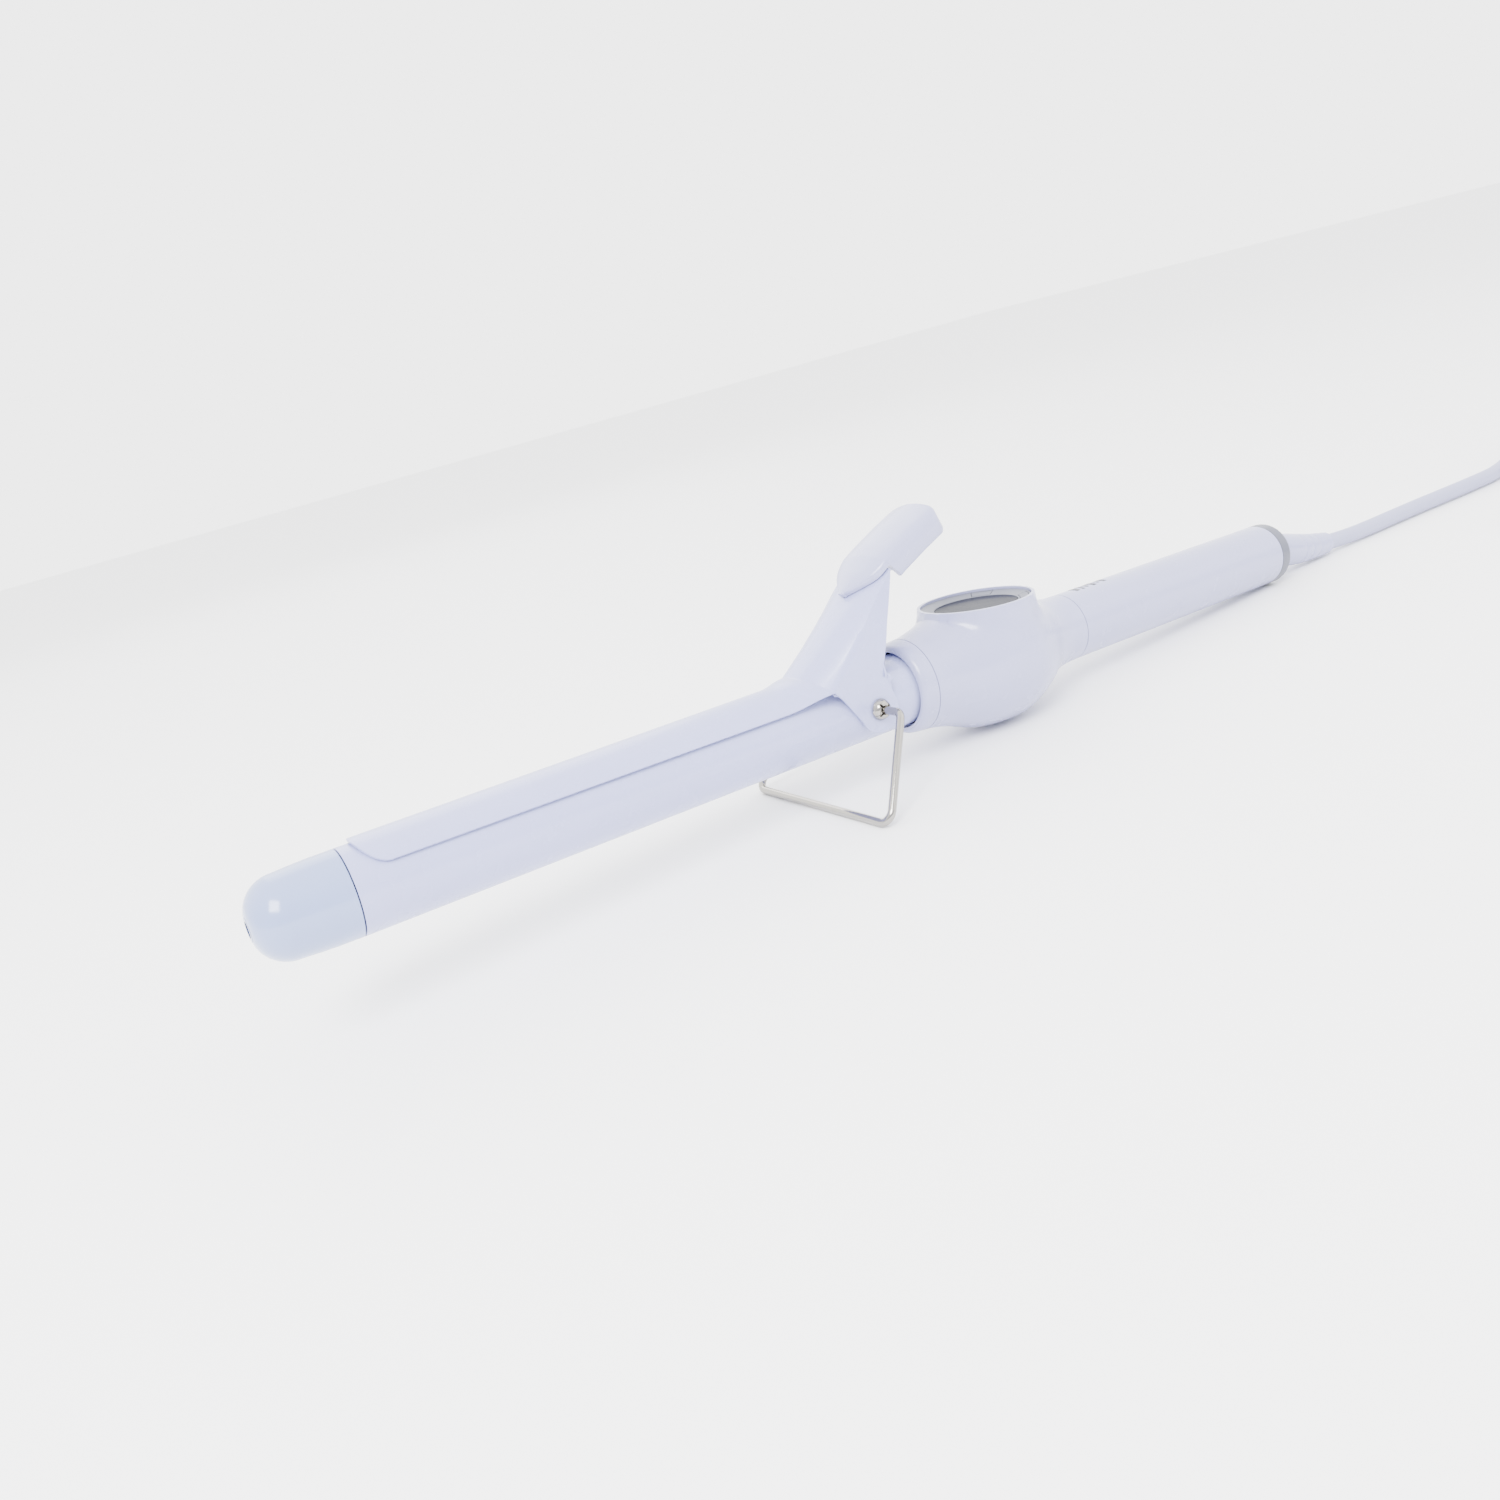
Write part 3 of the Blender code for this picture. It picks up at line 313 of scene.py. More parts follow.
def spring_steel():
    return finish("spring_steel", (0.50, 0.51, 0.54), 0.30, 1.0, grain=0.0003, mottle=0.06,
                  stretch=(0.2, 1.0, 1.0))


def aluminium():
    return finish("aluminium", (0.76, 0.77, 0.79), 0.36, 1.0, grain=0.0004, mottle=0.05,
                  stretch=(0.1, 1.0, 1.0))


def ceramic():
    return finish("ceramic", (0.74, 0.71, 0.64), 0.60, grain=0.0003, depth=0.00003, mottle=0.06)


def circuit_board():
    return finish("circuit_board", (0.03, 0.20, 0.09), 0.42, grain=0.0005, mottle=0.20, coat=0.3)


def black_plastic():
    return finish("black_plastic", (0.025, 0.025, 0.028), 0.42, grain=0.0003, depth=0.00001, mottle=0.20)


def brass():
    return finish("brass", (0.74, 0.55, 0.24), 0.28, 1.0, grain=0.0004, mottle=0.06)


def cord_jacket():
    colour = tuple(bpy.context.scene.curling_iron_colours.cord)
    return finish("white_cord", colour, 0.44, grain=0.0005, depth=0.00002, mottle=0.02)


FINISHES = {
    "white_plastic": shell_plastic,
    "cool_tip_plastic": tip_plastic,
    "white_coated_metal": coated_metal,
    "grey_plastic": trim_plastic,
    "display_lens": lens_plastic,
    "nickel_steel": nickel,
    "spring_steel": spring_steel,
    "aluminium": aluminium,
    "ceramic": ceramic,
    "circuit_board": circuit_board,
    "black_plastic": black_plastic,
    "brass": brass,
    "white_cord": cord_jacket,
}
made_finishes = {}


def slot_finish(slot):
    """The material of one of the record's slots, made once."""
    if slot not in made_finishes:
        made_finishes[slot] = FINISHES[slot]()
    return made_finishes[slot]


# ---------------------------------------------------------------- mesh helpers

def mesh_object(name, bm):
    """Turn a bmesh into a linked object."""
    mesh = bpy.data.meshes.new(name)
    bm.to_mesh(mesh)
    bm.free()
    piece = bpy.data.objects.new(name, mesh)
    bpy.context.scene.collection.objects.link(piece)
    return piece


def loft(name, rows, closed_rows=False, capped=False):
    """A surface through equal rows of points; capped closes its two ends."""
    bm = bmesh.new()
    grid = [[bm.verts.new(p) for p in row] for row in rows]
    columns = len(rows[0])
    for upper, lower in zip(grid, grid[1:]):
        for k in range(columns if closed_rows else columns - 1):
            after = (k + 1) % columns
            bm.faces.new((upper[k], upper[after], lower[after], lower[k]))
    if capped:
        bm.faces.new(grid[0])
        bm.faces.new(grid[-1])
    bmesh.ops.recalc_face_normals(bm, faces=bm.faces)
    return mesh_object(name, bm)


def turned(name, line, steps):
    """A closed profile of (height, radius) points turned about local Z."""
    bm = bmesh.new()
    corners = [bm.verts.new((radius, 0.0, height)) for height, radius in line]
    edges = [bm.edges.new((a, b)) for a, b in zip(corners, corners[1:])]
    if line[0][1] > 0 and line[-1][1] > 0:
        edges.append(bm.edges.new((corners[-1], corners[0])))
    bmesh.ops.spin(
        bm, geom=corners + edges, cent=(0, 0, 0), axis=(0, 0, 1), angle=math.tau, steps=steps,
        use_merge=True,
    )
    bmesh.ops.remove_doubles(bm, verts=bm.verts, dist=0.000002)
    bmesh.ops.recalc_face_normals(bm, faces=bm.faces)
    return mesh_object(name, bm)


def block(name, size, middle, turn=0.0):
    """A block turned about local Z, used only to cut with."""
    bm = bmesh.new()
    bmesh.ops.create_cube(bm, size=1.0)
    bmesh.ops.scale(bm, vec=size, verts=bm.verts)
    bmesh.ops.rotate(bm, cent=(0, 0, 0), matrix=Matrix.Rotation(turn, 3, "Z"), verts=bm.verts)
    bmesh.ops.translate(bm, vec=middle, verts=bm.verts)
    return mesh_object(name, bm)


def round_bar(name, radius, length, middle, direction, sides=64):
    """A round bar, used only to cut with."""
    bm = bmesh.new()
    bmesh.ops.create_cone(
        bm, cap_ends=True, segments=sides, radius1=radius, radius2=radius, depth=length
    )
    turn = Vector(direction).to_track_quat("Z", "Y").to_matrix()
    bmesh.ops.rotate(bm, cent=(0, 0, 0), matrix=turn, verts=bm.verts)
    bmesh.ops.translate(bm, vec=middle, verts=bm.verts)
    return mesh_object(name, bm)


def cut(piece, *tools):
    """Take the tools' volumes out of a piece; the tools are then removed."""
    for tool in tools:
        step = piece.modifiers.new("cut", "BOOLEAN")
        step.operation = "DIFFERENCE"
        step.solver = "EXACT"
        step.object = tool
    bake(piece)
    for tool in tools:
        bpy.data.objects.remove(tool, do_unlink=True)


def bake(piece):
    """Turn a piece's modifiers into its mesh."""
    evaluated = piece.evaluated_get(bpy.context.evaluated_depsgraph_get())
    shaped = bpy.data.meshes.new_from_object(evaluated)
    piece.modifiers.clear()
    piece.data = shaped


def place(piece, matrix, slot, body, replaced=(), angle=38):
    """Put a piece drawn in a local frame into the world, with its finish, body and stand-ins."""
    piece.data.transform(matrix)
    piece.data.shade_smooth()
    piece.data.set_sharp_from_angle(angle=math.radians(angle))
    piece.data.materials.clear()
    piece.data.materials.append(slot_finish(slot))
    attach(piece, body)
    if replaced:
        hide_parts(*replaced)
    return piece


def tube_curve(name, points, radius, radii=None, resolution=6):
    """A round wire or cord along points in world metres."""
    curve = bpy.data.curves.new(name, "CURVE")
    curve.dimensions = "3D"
    curve.bevel_depth = radius
    curve.bevel_resolution = resolution
    curve.use_fill_caps = True
    spline = curve.splines.new("POLY")
    spline.points.add(len(points) - 1)
    for k, point in enumerate(points):
        spline.points[k].co = (*point, 1.0)
        spline.points[k].radius = radii[k] if radii else 1.0
    piece = bpy.data.objects.new(name, curve)
    bpy.context.scene.collection.objects.link(piece)
    return piece


def arc(centre, radius, start, end, count):
    """Points on an arc of (station, radius) pairs; angles in degrees."""
    found = []
    for k in range(count + 1):
        turn = math.radians(start + (end - start) * k / count)
        found.append((centre[0] + radius * math.cos(turn), centre[1] + radius * math.sin(turn)))
    return found


def hermite(knots, x):
    """A smooth curve through (x, value) knots, level with its neighbours' mean slope."""
    if x <= knots[0][0]:
        return knots[0][1]
    if x >= knots[-1][0]:
        return knots[-1][1]
    k = max(i for i in range(len(knots) - 1) if knots[i][0] <= x)

    def slope(i):
        before, after = knots[max(i - 1, 0)], knots[min(i + 1, len(knots) - 1)]
        return (after[1] - before[1]) / (after[0] - before[0])

    (x0, y0), (x1, y1) = knots[k], knots[k + 1]
    span = x1 - x0
    t = (x - x0) / span
    return (
        (2 * t**3 - 3 * t**2 + 1) * y0
        + (t**3 - 2 * t**2 + t) * span * slope(k)
        + (3 * t**2 - 2 * t**3) * y1
        + (t**3 - t**2) * span * slope(k + 1)
    )


def smooth_route(points, spacing):
    """Points about every spacing metres along a smooth curve through the route's own points."""
    knots = [Vector(p) for p in points]
    found = []
    for k in range(len(knots) - 1):
        a = knots[max(k - 1, 0)]
        b, c = knots[k], knots[k + 1]
        d = knots[min(k + 2, len(knots) - 1)]
        count = max(1, round((c - b).length / spacing))
        for j in range(count):
            t = j / count
            found.append(0.5 * (
                2 * b + (c - a) * t + (2 * a - 5 * b + 4 * c - d) * t**2
                + (3 * b - a - 3 * c + d) * t**3
            ))
    found.append(knots[-1])
    return found


def bent(corners, radius, count):
    """A polyline through corners, each inner corner rounded with an arc."""
    knots = [Vector(c) for c in corners]
    found = [knots[0]]
    for before, corner, after in zip(knots, knots[1:], knots[2:]):
        back = (before - corner).normalized()
        ahead = (after - corner).normalized()
        half = back.angle(ahead) / 2
        reach = radius / math.tan(half)
        centre = corner + (back + ahead).normalized() * (radius / math.sin(half))
        first = corner + back * reach - centre
        last = corner + ahead * reach - centre
        for k in range(count + 1):
            found.append(centre + first.slerp(last, k / count).normalized() * radius)
    found.append(knots[-1])
    return found


# ---------------------------------------------------------------- clip and lever

CREASE = [(0.1372, 0.0091), (0.1440, 0.0157), (0.1520, 0.0238), (0.1594, 0.0314), (0.1660, 0.0376)]


def flange_edge():
    """The lower and rear boundary of the lever's side, from the crease's foot round the ear."""
    ear = arc((PIVOT_X, 0.0), EAR_R, 200, 375, 32)
    rear = [(0.1572, 0.0075), (0.1568, 0.0130), (0.1604, 0.0235), (0.1657, 0.0370)]
    return [(0.1378, 0.0090), (0.1404, 0.0064)] + ear + rear


FLANGE = flange_edge()


def along(line, share):
    """The point that is a share of the way along a polyline."""
    lengths = [math.dist(p, q) for p, q in zip(line, line[1:])]
    target = share * sum(lengths)
    for (p, q), length in zip(zip(line, line[1:]), lengths):
        if target <= length:
            t = target / length
            return (p[0] + (q[0] - p[0]) * t, p[1] + (q[1] - p[1]) * t)
        target -= length
    return line[-1]


def trough_row(x):
    """One cross-section of the clip's trough; its front end is a rounded tongue."""
    run = max(x - CLIP_START, 0.0)
    share = 1.0 if run >= TONGUE else math.sqrt(max(1 - (1 - run / TONGUE) ** 2, 0.0))
    half = (CLIP_HALF_ANGLE + CLIP_WIDENING * x / LEVER_START) * max(share, 0.12)
    radius = CLIP_INNER_R + SHEET / 2
    lift = CLIP_LIFT * x / LEVER_START
    columns = ARCH_COLUMNS + 2 * SIDE_COLUMNS
    row = []
    for k in range(columns + 1):
        turn = half * (2 * k / columns - 1)
        row.append((x, radius * math.sin(turn), radius * math.cos(turn) + lift))
    return row


def lever_row(share):
    """One ruled cross-section of the lever: side plate, arched front panel, side plate."""
    crease = along(CREASE, share)
    foot = along(FLANGE, share)
    half = 0.0119 - 0.0019 * share
    rise = 0.0012 + 0.0052 * (1 - share) ** 1.2
    foot_half = half + (EAR_Y - half) * min(1.0, math.dist(crease, foot) / 0.012)
    row = []
    for k in range(SIDE_COLUMNS):
        t = k / SIDE_COLUMNS
        x = foot[0] + (crease[0] - foot[0]) * t
        z = foot[1] + (crease[1] - foot[1]) * t
        row.append((x, -(foot_half + (half - foot_half) * t), z))
    for k in range(ARCH_COLUMNS + 1):
        across = 2 * k / ARCH_COLUMNS - 1
        bulge = rise * (1 - abs(across) ** 2.6)
        row.append((
            crease[0] - bulge * math.sin(LEVER_LEAN), half * across,
            crease[1] + bulge * math.cos(LEVER_LEAN),
        ))
    for k in range(1, SIDE_COLUMNS + 1):
        x, y, z = row[SIDE_COLUMNS - k]
        row.append((x, -y, z))
    return row


def clip():
    """The clip's trough and its lever, one bent sheet with rolled edges."""
    stations = [CLIP_START + TONGUE * (1 - math.cos(math.pi / 2 * k / 14)) for k in range(15)]
    straight = 0.0115
    stations += [straight + (LEVER_START - straight) * k / 40 for k in range(41)]
    rows = [trough_row(x) for x in stations]
    first_lever = lever_row(0.0)
    last_trough = rows[-1]
    for k in range(1, 10):
        t = k / 10
        blend = t * t * (3 - 2 * t)
        rows.append([
            tuple(a[i] + (b[i] - a[i]) * (t if i == 0 else blend) for i in range(3))
            for a, b in zip(last_trough, first_lever)
        ])
    count = 72
    rows += [lever_row(k / count) for k in range(count + 1)]
    rows = [[(x - PIVOT_X, y, z) for x, y, z in row] for row in rows]
    piece = loft("clip_shell", rows)
    skin = piece.modifiers.new("sheet", "SOLIDIFY")
    skin.thickness = SHEET
    skin.offset = 0.0
    skin.use_even_offset = True
    edge = piece.modifiers.new("edge", "BEVEL")
    edge.width = CLIP_EDGE
    edge.segments = 2
    edge.limit_method = "ANGLE"
    edge.angle_limit = math.radians(60)
    edge.use_clamp_overlap = True
    bake(piece)
    cut(piece, round_bar("ear_hole", SHANK_R + 0.0002, 0.04, (0, 0, 0), (0, 1, 0), sides=48))
    place(piece, PIVOT, "white_coated_metal", "clip_lever", ["clip"], angle=50)


# ---------------------------------------------------------------- thumb rest

def hood_row(share, wall=0.0, depth=None):
    """One cross-section of the thumb rest, square to its spine; wall insets it for the hollow."""
    x, z = along(HOOD_SPINE, share)
    ahead = along(HOOD_SPINE, min(share + 0.06, 1))
    behind = along(HOOD_SPINE, max(share - 0.06, 0))
    slope = math.atan2(ahead[1] - behind[1], ahead[0] - behind[0])
    length = sum(math.dist(p, q) for p, q in zip(HOOD_SPINE, HOOD_SPINE[1:]))
    run, left = share * length, (1 - share) * length
    half = HOOD_HALF - wall
    if run < HOOD_NOSE:
        half *= max(math.sin(math.pi / 2 * run / HOOD_NOSE), 0.06) ** 0.75
    if left < 0.0030 and not wall:
        half -= 0.0030 - math.sqrt(max(0.0030**2 - (0.0030 - left) ** 2, 0.0))
    if depth is None:
        skirt = min(max((run - 0.0128) / 0.0014, 0.0), 1.0)
        depth = HOOD_PLATE + (HOOD_SKIRT - HOOD_PLATE) * skirt
    row = []
    for k in range(2 * HOOD_COLUMNS + 1):
        across = 1 - k / HOOD_COLUMNS
        drop = HOOD_CROWN * abs(across) ** 2 * half / HOOD_HALF + 0.0007 * abs(across) ** 24
        row.append((across * half, -drop - wall))
    inner = half - 0.0006
    row += [(-half, -depth * 0.8 - HOOD_CROWN), (-inner, -depth - HOOD_CROWN * 0.6)]
    row += [(inner, -depth - HOOD_CROWN * 0.6), (half, -depth * 0.8 - HOOD_CROWN)]
    return [
        (x - PIVOT_X - up * math.sin(slope), y, z + up * math.cos(slope)) for y, up in row
    ]


def lever_clearance():
    """The space under the thumb rest that the lever's end fills, with room all round."""
    shift = Vector((math.cos(LEVER_LEAN), 0.0, math.sin(LEVER_LEAN))) * 0.0007
    normal = Vector((-math.sin(LEVER_LEAN), 0.0, math.cos(LEVER_LEAN)))
    rows = []
    for share in [0.50 + 0.05 * k for k in range(11)] + [1.02]:
        row = lever_row(min(share, 1.0))[SIDE_COLUMNS: SIDE_COLUMNS + ARCH_COLUMNS + 1]
        move = shift if share > 1 else Vector()
        upper = [
            Vector((x - PIVOT_X, y * 1.06, z)) + normal * (SHEET / 2 + 0.00030) + move
            for x, y, z in row
        ]
        lower = [upper[-1] - normal * 0.008, upper[0] - normal * 0.008]
        rows.append([tuple(p) for p in upper + lower])
    return loft("lever_clearance", rows, closed_rows=True, capped=True)


def thumb_rest():
    """A hood over the lever's end: a crowned plate with a skirt round its overhanging part."""
    shares = [0.0, 0.01, 0.02, 0.035] + [0.05 + 0.018 * k for k in range(15)]
    shares += [0.316, 0.325, 0.334, 0.343, 0.352] + [0.38 + 0.04 * k for k in range(14)]
    shares += [0.925, 0.94, 0.955, 0.97, 0.98, 0.99, 0.997, 1.0]
    rows = [hood_row(t) for t in shares]
    piece = loft("thumb_rest_shell", rows, closed_rows=True, capped=True)
    hollow = [hood_row(t, HOOD_WALL, 0.014) for t in (0.36, 0.43, 0.5, 0.65, 0.8, 0.955)]
    hole = loft("hood_hollow", hollow, closed_rows=True, capped=True)
    cut(piece, hole, lever_clearance())
    place(piece, PIVOT, "white_plastic", "clip_lever", ["thumb_rest"], angle=42)


# ---------------------------------------------------------------- cool tip, screws, stand

def cool_tip():
    """The cap on the barrel's end, a smooth turned nose with a screw's hole in it."""
    centre = (TIP_NOSE_R - TIP_LENGTH + 0.0036, TIP_NOSE_R * 0.45)
    outer = [(0.0, BARREL_R - TIP_EDGE), (-TIP_EDGE, BARREL_R), (-0.006, 0.01094), (-0.0100, 0.01075)]
    outer += arc(centre, TIP_CURVE_R, 90, 180, 32)
    nose = outer[-1][0]
    inner = [
        (nose, TIP_HOLE_R * 1.9),
        (nose + 0.0012, TIP_HOLE_R),
        (nose + 0.0045, TIP_HOLE_R),
        (nose + 0.0045, 0.0055),
        *TIP_INSIDE,
        (TIP_INSIDE[-1][0], BARREL_R - BARREL_WALL - CLEAR),
        (0.0, BARREL_R - BARREL_WALL - CLEAR),
    ]
    piece = turned("cool_tip_shell", outer + inner, 112)
    lie_along = Matrix.Rotation(math.pi / 2, 4, "Y")
    place(piece, IRON @ lie_along, "cool_tip_plastic", "housing", ["cool_tip"], angle=40)


def pivot_screws():
    """Domed screws with a cross recess, and a hole that the stand's wire turns in."""
    socket = WIRE_R + 0.0002
    socket_end = SCREW_SEAT - 0.0002
    steps = 12
    dome = [
        (
            SCREW_TOP - (SCREW_TOP - SCREW_SEAT) * (t / steps) ** 2.4,
            socket + (SCREW_HEAD_R - socket) * t / steps,
        )
        for t in range(steps + 1)
    ]
    shank = [(SCREW_SEAT, SHANK_R), (SCREW_END, SHANK_R), (SCREW_END, 0.0)]
    line = [(socket_end, 0.0), (socket_end, socket)] + dome + shank
    for name, side in (("pivot_screw_near", -1), ("pivot_screw_far", 1)):
        piece = turned(f"{name}_head", line, 64)
        tools = [
            block(f"{name}_slot_{k}", RECESS, (0, 0, RECESS_Z), RECESS_TURN + math.pi / 2 * k)
            for k in range(2)
        ]
        cut(piece, *tools)
        face = Matrix.Rotation(side * -math.pi / 2, 4, "X")
        place(piece, PIVOT @ face, "nickel_steel", "housing", [name], angle=30)


def stand():
    """The bent wire stand, with smooth bends."""
    foot = (FOOT_X - PIVOT_X, FOOT_Z)
    corners = [
        (0.0, -WIRE_END_Y, 0.0),
        (0.0, -LEG_TOP_Y, 0.0),
        (foot[0], -FOOT_Y, foot[1]),
        (foot[0], FOOT_Y, foot[1]),
        (0.0, LEG_TOP_Y, 0.0),
        (0.0, WIRE_END_Y, 0.0),
    ]
    points = [PIVOT @ p for p in bent(corners, STAND_BEND_R, 14)]
    piece = tube_curve("stand_bar", points, WIRE_R)
    piece.data.materials.append(slot_finish("nickel_steel"))
    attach(piece, "stand")
    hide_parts("stand_wire")


# ---------------------------------------------------------------- bulb housing

def turret_reach(x, turn, radius, top):
    """How far from the barrel's axis the upright display turret reaches, at one angle."""
    low, high = 0.0, 0.04
    for _ in range(26):
        reach = (low + high) / 2
        flat = math.hypot(x - DISPLAY_X, reach * math.cos(turn)) / radius
        up = max(reach * math.sin(turn), 0.0) / top
        if flat**TURRET_POWER + up**TURRET_POWER < 1:
            low = reach
        else:
            high = reach
    return low


def housing_row(x, count, wall, top):
    """One cross-section of the bulb with the display turret blended into it."""
    body = hermite(BULB_KNOTS, x) - wall
    row = []
    for k in range(count):
        turn = math.tau * k / count - math.pi / 2
        reach = body
        if math.sin(turn) > -0.25:
            turret = turret_reach(x, turn, TURRET_R - wall, top)
            fade = min(1.0, (math.sin(turn) + 0.25) / 0.5)
            joined = (body**BLEND_POWER + turret**BLEND_POWER) ** (1 / BLEND_POWER)
            reach = body + (joined - body) * fade
        row.append((x, reach * math.cos(turn), reach * math.sin(turn)))
    return row


def housing_form(name, wall, top, overhang, count, sides):
    """The bulb's outer form, or with a wall's thickness taken off, its hollow."""
    start, end = HOUSING_START - overhang, HOUSING_END + overhang
    rows = [housing_row(start + (end - start) * k / count, sides, wall, top) for k in range(count + 1)]
    return loft(name, rows, closed_rows=True, capped=True)


def bulb_housing():
    """The swelling of the handle that carries the round display, as one smooth shell."""
    piece = housing_form("bulb_shell", 0.0, TURRET_TOP, 0.0, 84, 128)
    hollow = housing_form("housing_hollow", HOUSING_WALL, 0.03, 0.002, 30, 48)
    top = block("housing_top", (0.05, 0.06, 0.02), (0.205, 0.0, RIM_Z + 0.01))
    seat = round_bar(
        "display_seat", RING_R + 0.0002, 0.010, (DISPLAY_X, 0.0, SEAT_Z + 0.005), (0, 0, 1), sides=96
    )
    cut(piece, hollow, top, seat)
    place(piece, IRON, "white_plastic", "housing", ["bulb_housing"], angle=32)


# ---------------------------------------------------------------- printed marks

MARK_BARS = (
    (0.2480, 0.0016, 0.0042),
    (0.2510, 0.0010, 0.0042),
    (0.2535, 0.0010, 0.0030),
    (0.2560, 0.0016, 0.0042),
    (0.2592, 0.0008, 0.0024),
    (0.2614, 0.0014, 0.0034),
)


def printed_marks():
    """A row of plain printed bars on the handle's top."""
    proud = bpy.context.scene.curling_iron_sizes.mark_height
    bm = bmesh.new()
    for start, width, height in MARK_BARS:
        half = height / 2 / HANDLE_R
        loops = []
        for radius in (HANDLE_R, HANDLE_R + proud):
            for x in (start, start + width):
                loops.append([
                    bm.verts.new((x, radius * math.sin(turn), radius * math.cos(turn)))
                    for turn in [half * (k / 4 - 1) for k in range(9)]
                ])
        low_a, low_b, high_a, high_b = loops
        for k in range(8):
            bm.faces.new((high_a[k], high_a[k + 1], high_b[k + 1], high_b[k]))
            bm.faces.new((low_a[k + 1], low_a[k], low_b[k], low_b[k + 1]))
            bm.faces.new((low_a[k], low_a[k + 1], high_a[k + 1], high_a[k]))
            bm.faces.new((low_b[k + 1], low_b[k], high_b[k], high_b[k + 1]))
        for k in (0, 8):
            bm.faces.new((low_a[k], high_a[k], high_b[k], low_b[k]))
    bmesh.ops.recalc_face_normals(bm, faces=bm.faces)
    piece = mesh_object("handle_print", bm)
    place(piece, IRON, "grey_plastic", "housing")
    piece.data.materials[0] = finish("print_ink", (0.05, 0.05, 0.06), 0.5, grain=0.0002, mottle=0.2)


# ---------------------------------------------------------------- cord, guard, hank, plug

def hank_corner():
    """The corner of the hank with the least x and y, on the floor."""
    return Vector((EXIT.x + HANK_X, HANK_Y - HANK_WIDTH, 0.0))


def ramp(t, start, end):
    """A smooth step from 0 to 1 between start and end."""
    share = min(max((t - start) / (end - start), 0.0), 1.0)
    return share * share * (3 - 2 * share)


def hank_route(low):
    """The turns: out along the lower layer's tracks inwards, then back out along the upper's."""
    slots = [(r, LAYERS[0]) for r in TRACKS] + [(r, LAYERS[1]) for r in reversed(TRACKS)]
    near_end = low + Vector((HANK_WIDTH / 2, HANK_WIDTH / 2, 0.0))
    far_end = near_end + Vector((HANK_STRAIGHT, 0.0, 0.0))
    windows = [(0.58, 1.0), (0.58, 1.0), (0.30, 0.70), (0.0, 0.42), (0.0, 0.42)]
    found = []
    for turn, (radius, height) in enumerate(slots):
        for k in range(1, 4):
            found.append(near_end + Vector((HANK_STRAIGHT * k / 4, radius, height)))
        for k in range(ARC_POINTS + 1):
            angle = math.pi / 2 - math.pi * k / ARC_POINTS
            found.append(far_end + Vector((radius * math.cos(angle), radius * math.sin(angle), height)))
        for k in range(1, 4):
            found.append(far_end + Vector((-HANK_STRAIGHT * k / 4, -radius, height)))
        if turn == len(slots) - 1:
            found.append(near_end + Vector((0.0, -radius, height)))
            break
        after_radius, after_height = slots[turn + 1]
        for k in range(ARC_POINTS + 1):
            t = k / ARC_POINTS
            share = ramp(t, *windows[turn])
            angle = -math.pi / 2 - math.pi * t
            reach = radius + (after_radius - radius) * share
            level = height + (after_height - height) * share
            found.append(near_end + Vector((reach * math.cos(angle), reach * math.sin(angle), level)))
    return found


def tail_route(low):
    """From the top of the hank down to the plug beside it."""
    end = low.x + HANK_WIDTH / 2
    y = low.y + HANK_WIDTH / 2 - TRACKS[0]
    return [
        (end - 0.0150, y, LAYERS[1]), (end - 0.0300, y, 0.0101), (end - 0.0400, y - 0.0002, 0.0094),
        (end - 0.0500, y - 0.0005, 0.0082), (end - 0.0580, y - PLUG_Y, 0.0073),
        (end - TAIL_LENGTH - CLEAR, y - PLUG_Y, PLUG_Z), (end - TAIL_LENGTH - 0.0060, y - PLUG_Y, PLUG_Z),
    ]


def cord():
    """One free cord from the iron to the plug, most of it folded into the hank."""
    low = hank_corner()
    route = [EXIT + Vector(p) for p in GUARD_ROUTE]
    for x, y, z in CORD_ROUTE:
        route.append((EXIT.x + x, y, FLOOR_Z if z is None else max(EXIT.z + z, FLOOR_Z)))
    near = low.x + HANK_WIDTH / 2
    route.append((low.x + RUN_MOUTH, -0.0051, FLOOR_Z + CLEAR))
    route.append((near, low.y + HANK_WIDTH / 2 + TRACKS[0], LAYERS[0]))
    points = smooth_route(route + hank_route(low) + tail_route(low), 0.0030)
    piece = tube_curve("mains_cord", points, CORD_R, resolution=5)
    piece.data.materials.append(slot_finish("white_cord"))
    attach(piece, "housing")
    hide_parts("cord_run", "cord_hank", "cord_tail")
    guard, body = cord_guard(), plug_body(low)


def cord_guard():
    """The tapered strain relief, with shallow rings moulded along it."""
    fine = smooth_route([EXIT + Vector(p) for p in GUARD_ROUTE], 0.0004)
    taper = [(k / (len(GUARD_RADII) - 1), r) for k, r in enumerate(GUARD_RADII)]
    radii = []
    for k in range(len(fine)):
        share = k / (len(fine) - 1)
        groove = 0.00022 * max(math.sin(share * 14 * math.pi), 0.0) ** 4 if 0.35 < share < 0.92 else 0.0
        edge = 0.0006 * (1 - ramp(share, 0.0, 0.03)) + 0.0006 * ramp(share, 0.97, 1.0)
        radii.append((hermite(taper, share) - groove - edge) / CORD_R)
    piece = tube_curve("guard_sleeve", fine, CORD_R, radii, resolution=7)
    piece.data.materials.append(slot_finish("white_plastic"))
    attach(piece, "housing")
    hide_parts("cord_guard")
    return piece


PLUG_STATIONS = ((0.0, 0.0038, 0.0038, 2), (0.016, 0.0046, 0.0046, 2), (0.021, 0.0100, 0.0058, 3),
                 (0.026, 0.0118, 0.0066, 4), (0.040, 0.0126, 0.0066, 4), (0.0425, 0.0118, 0.0060, 4))


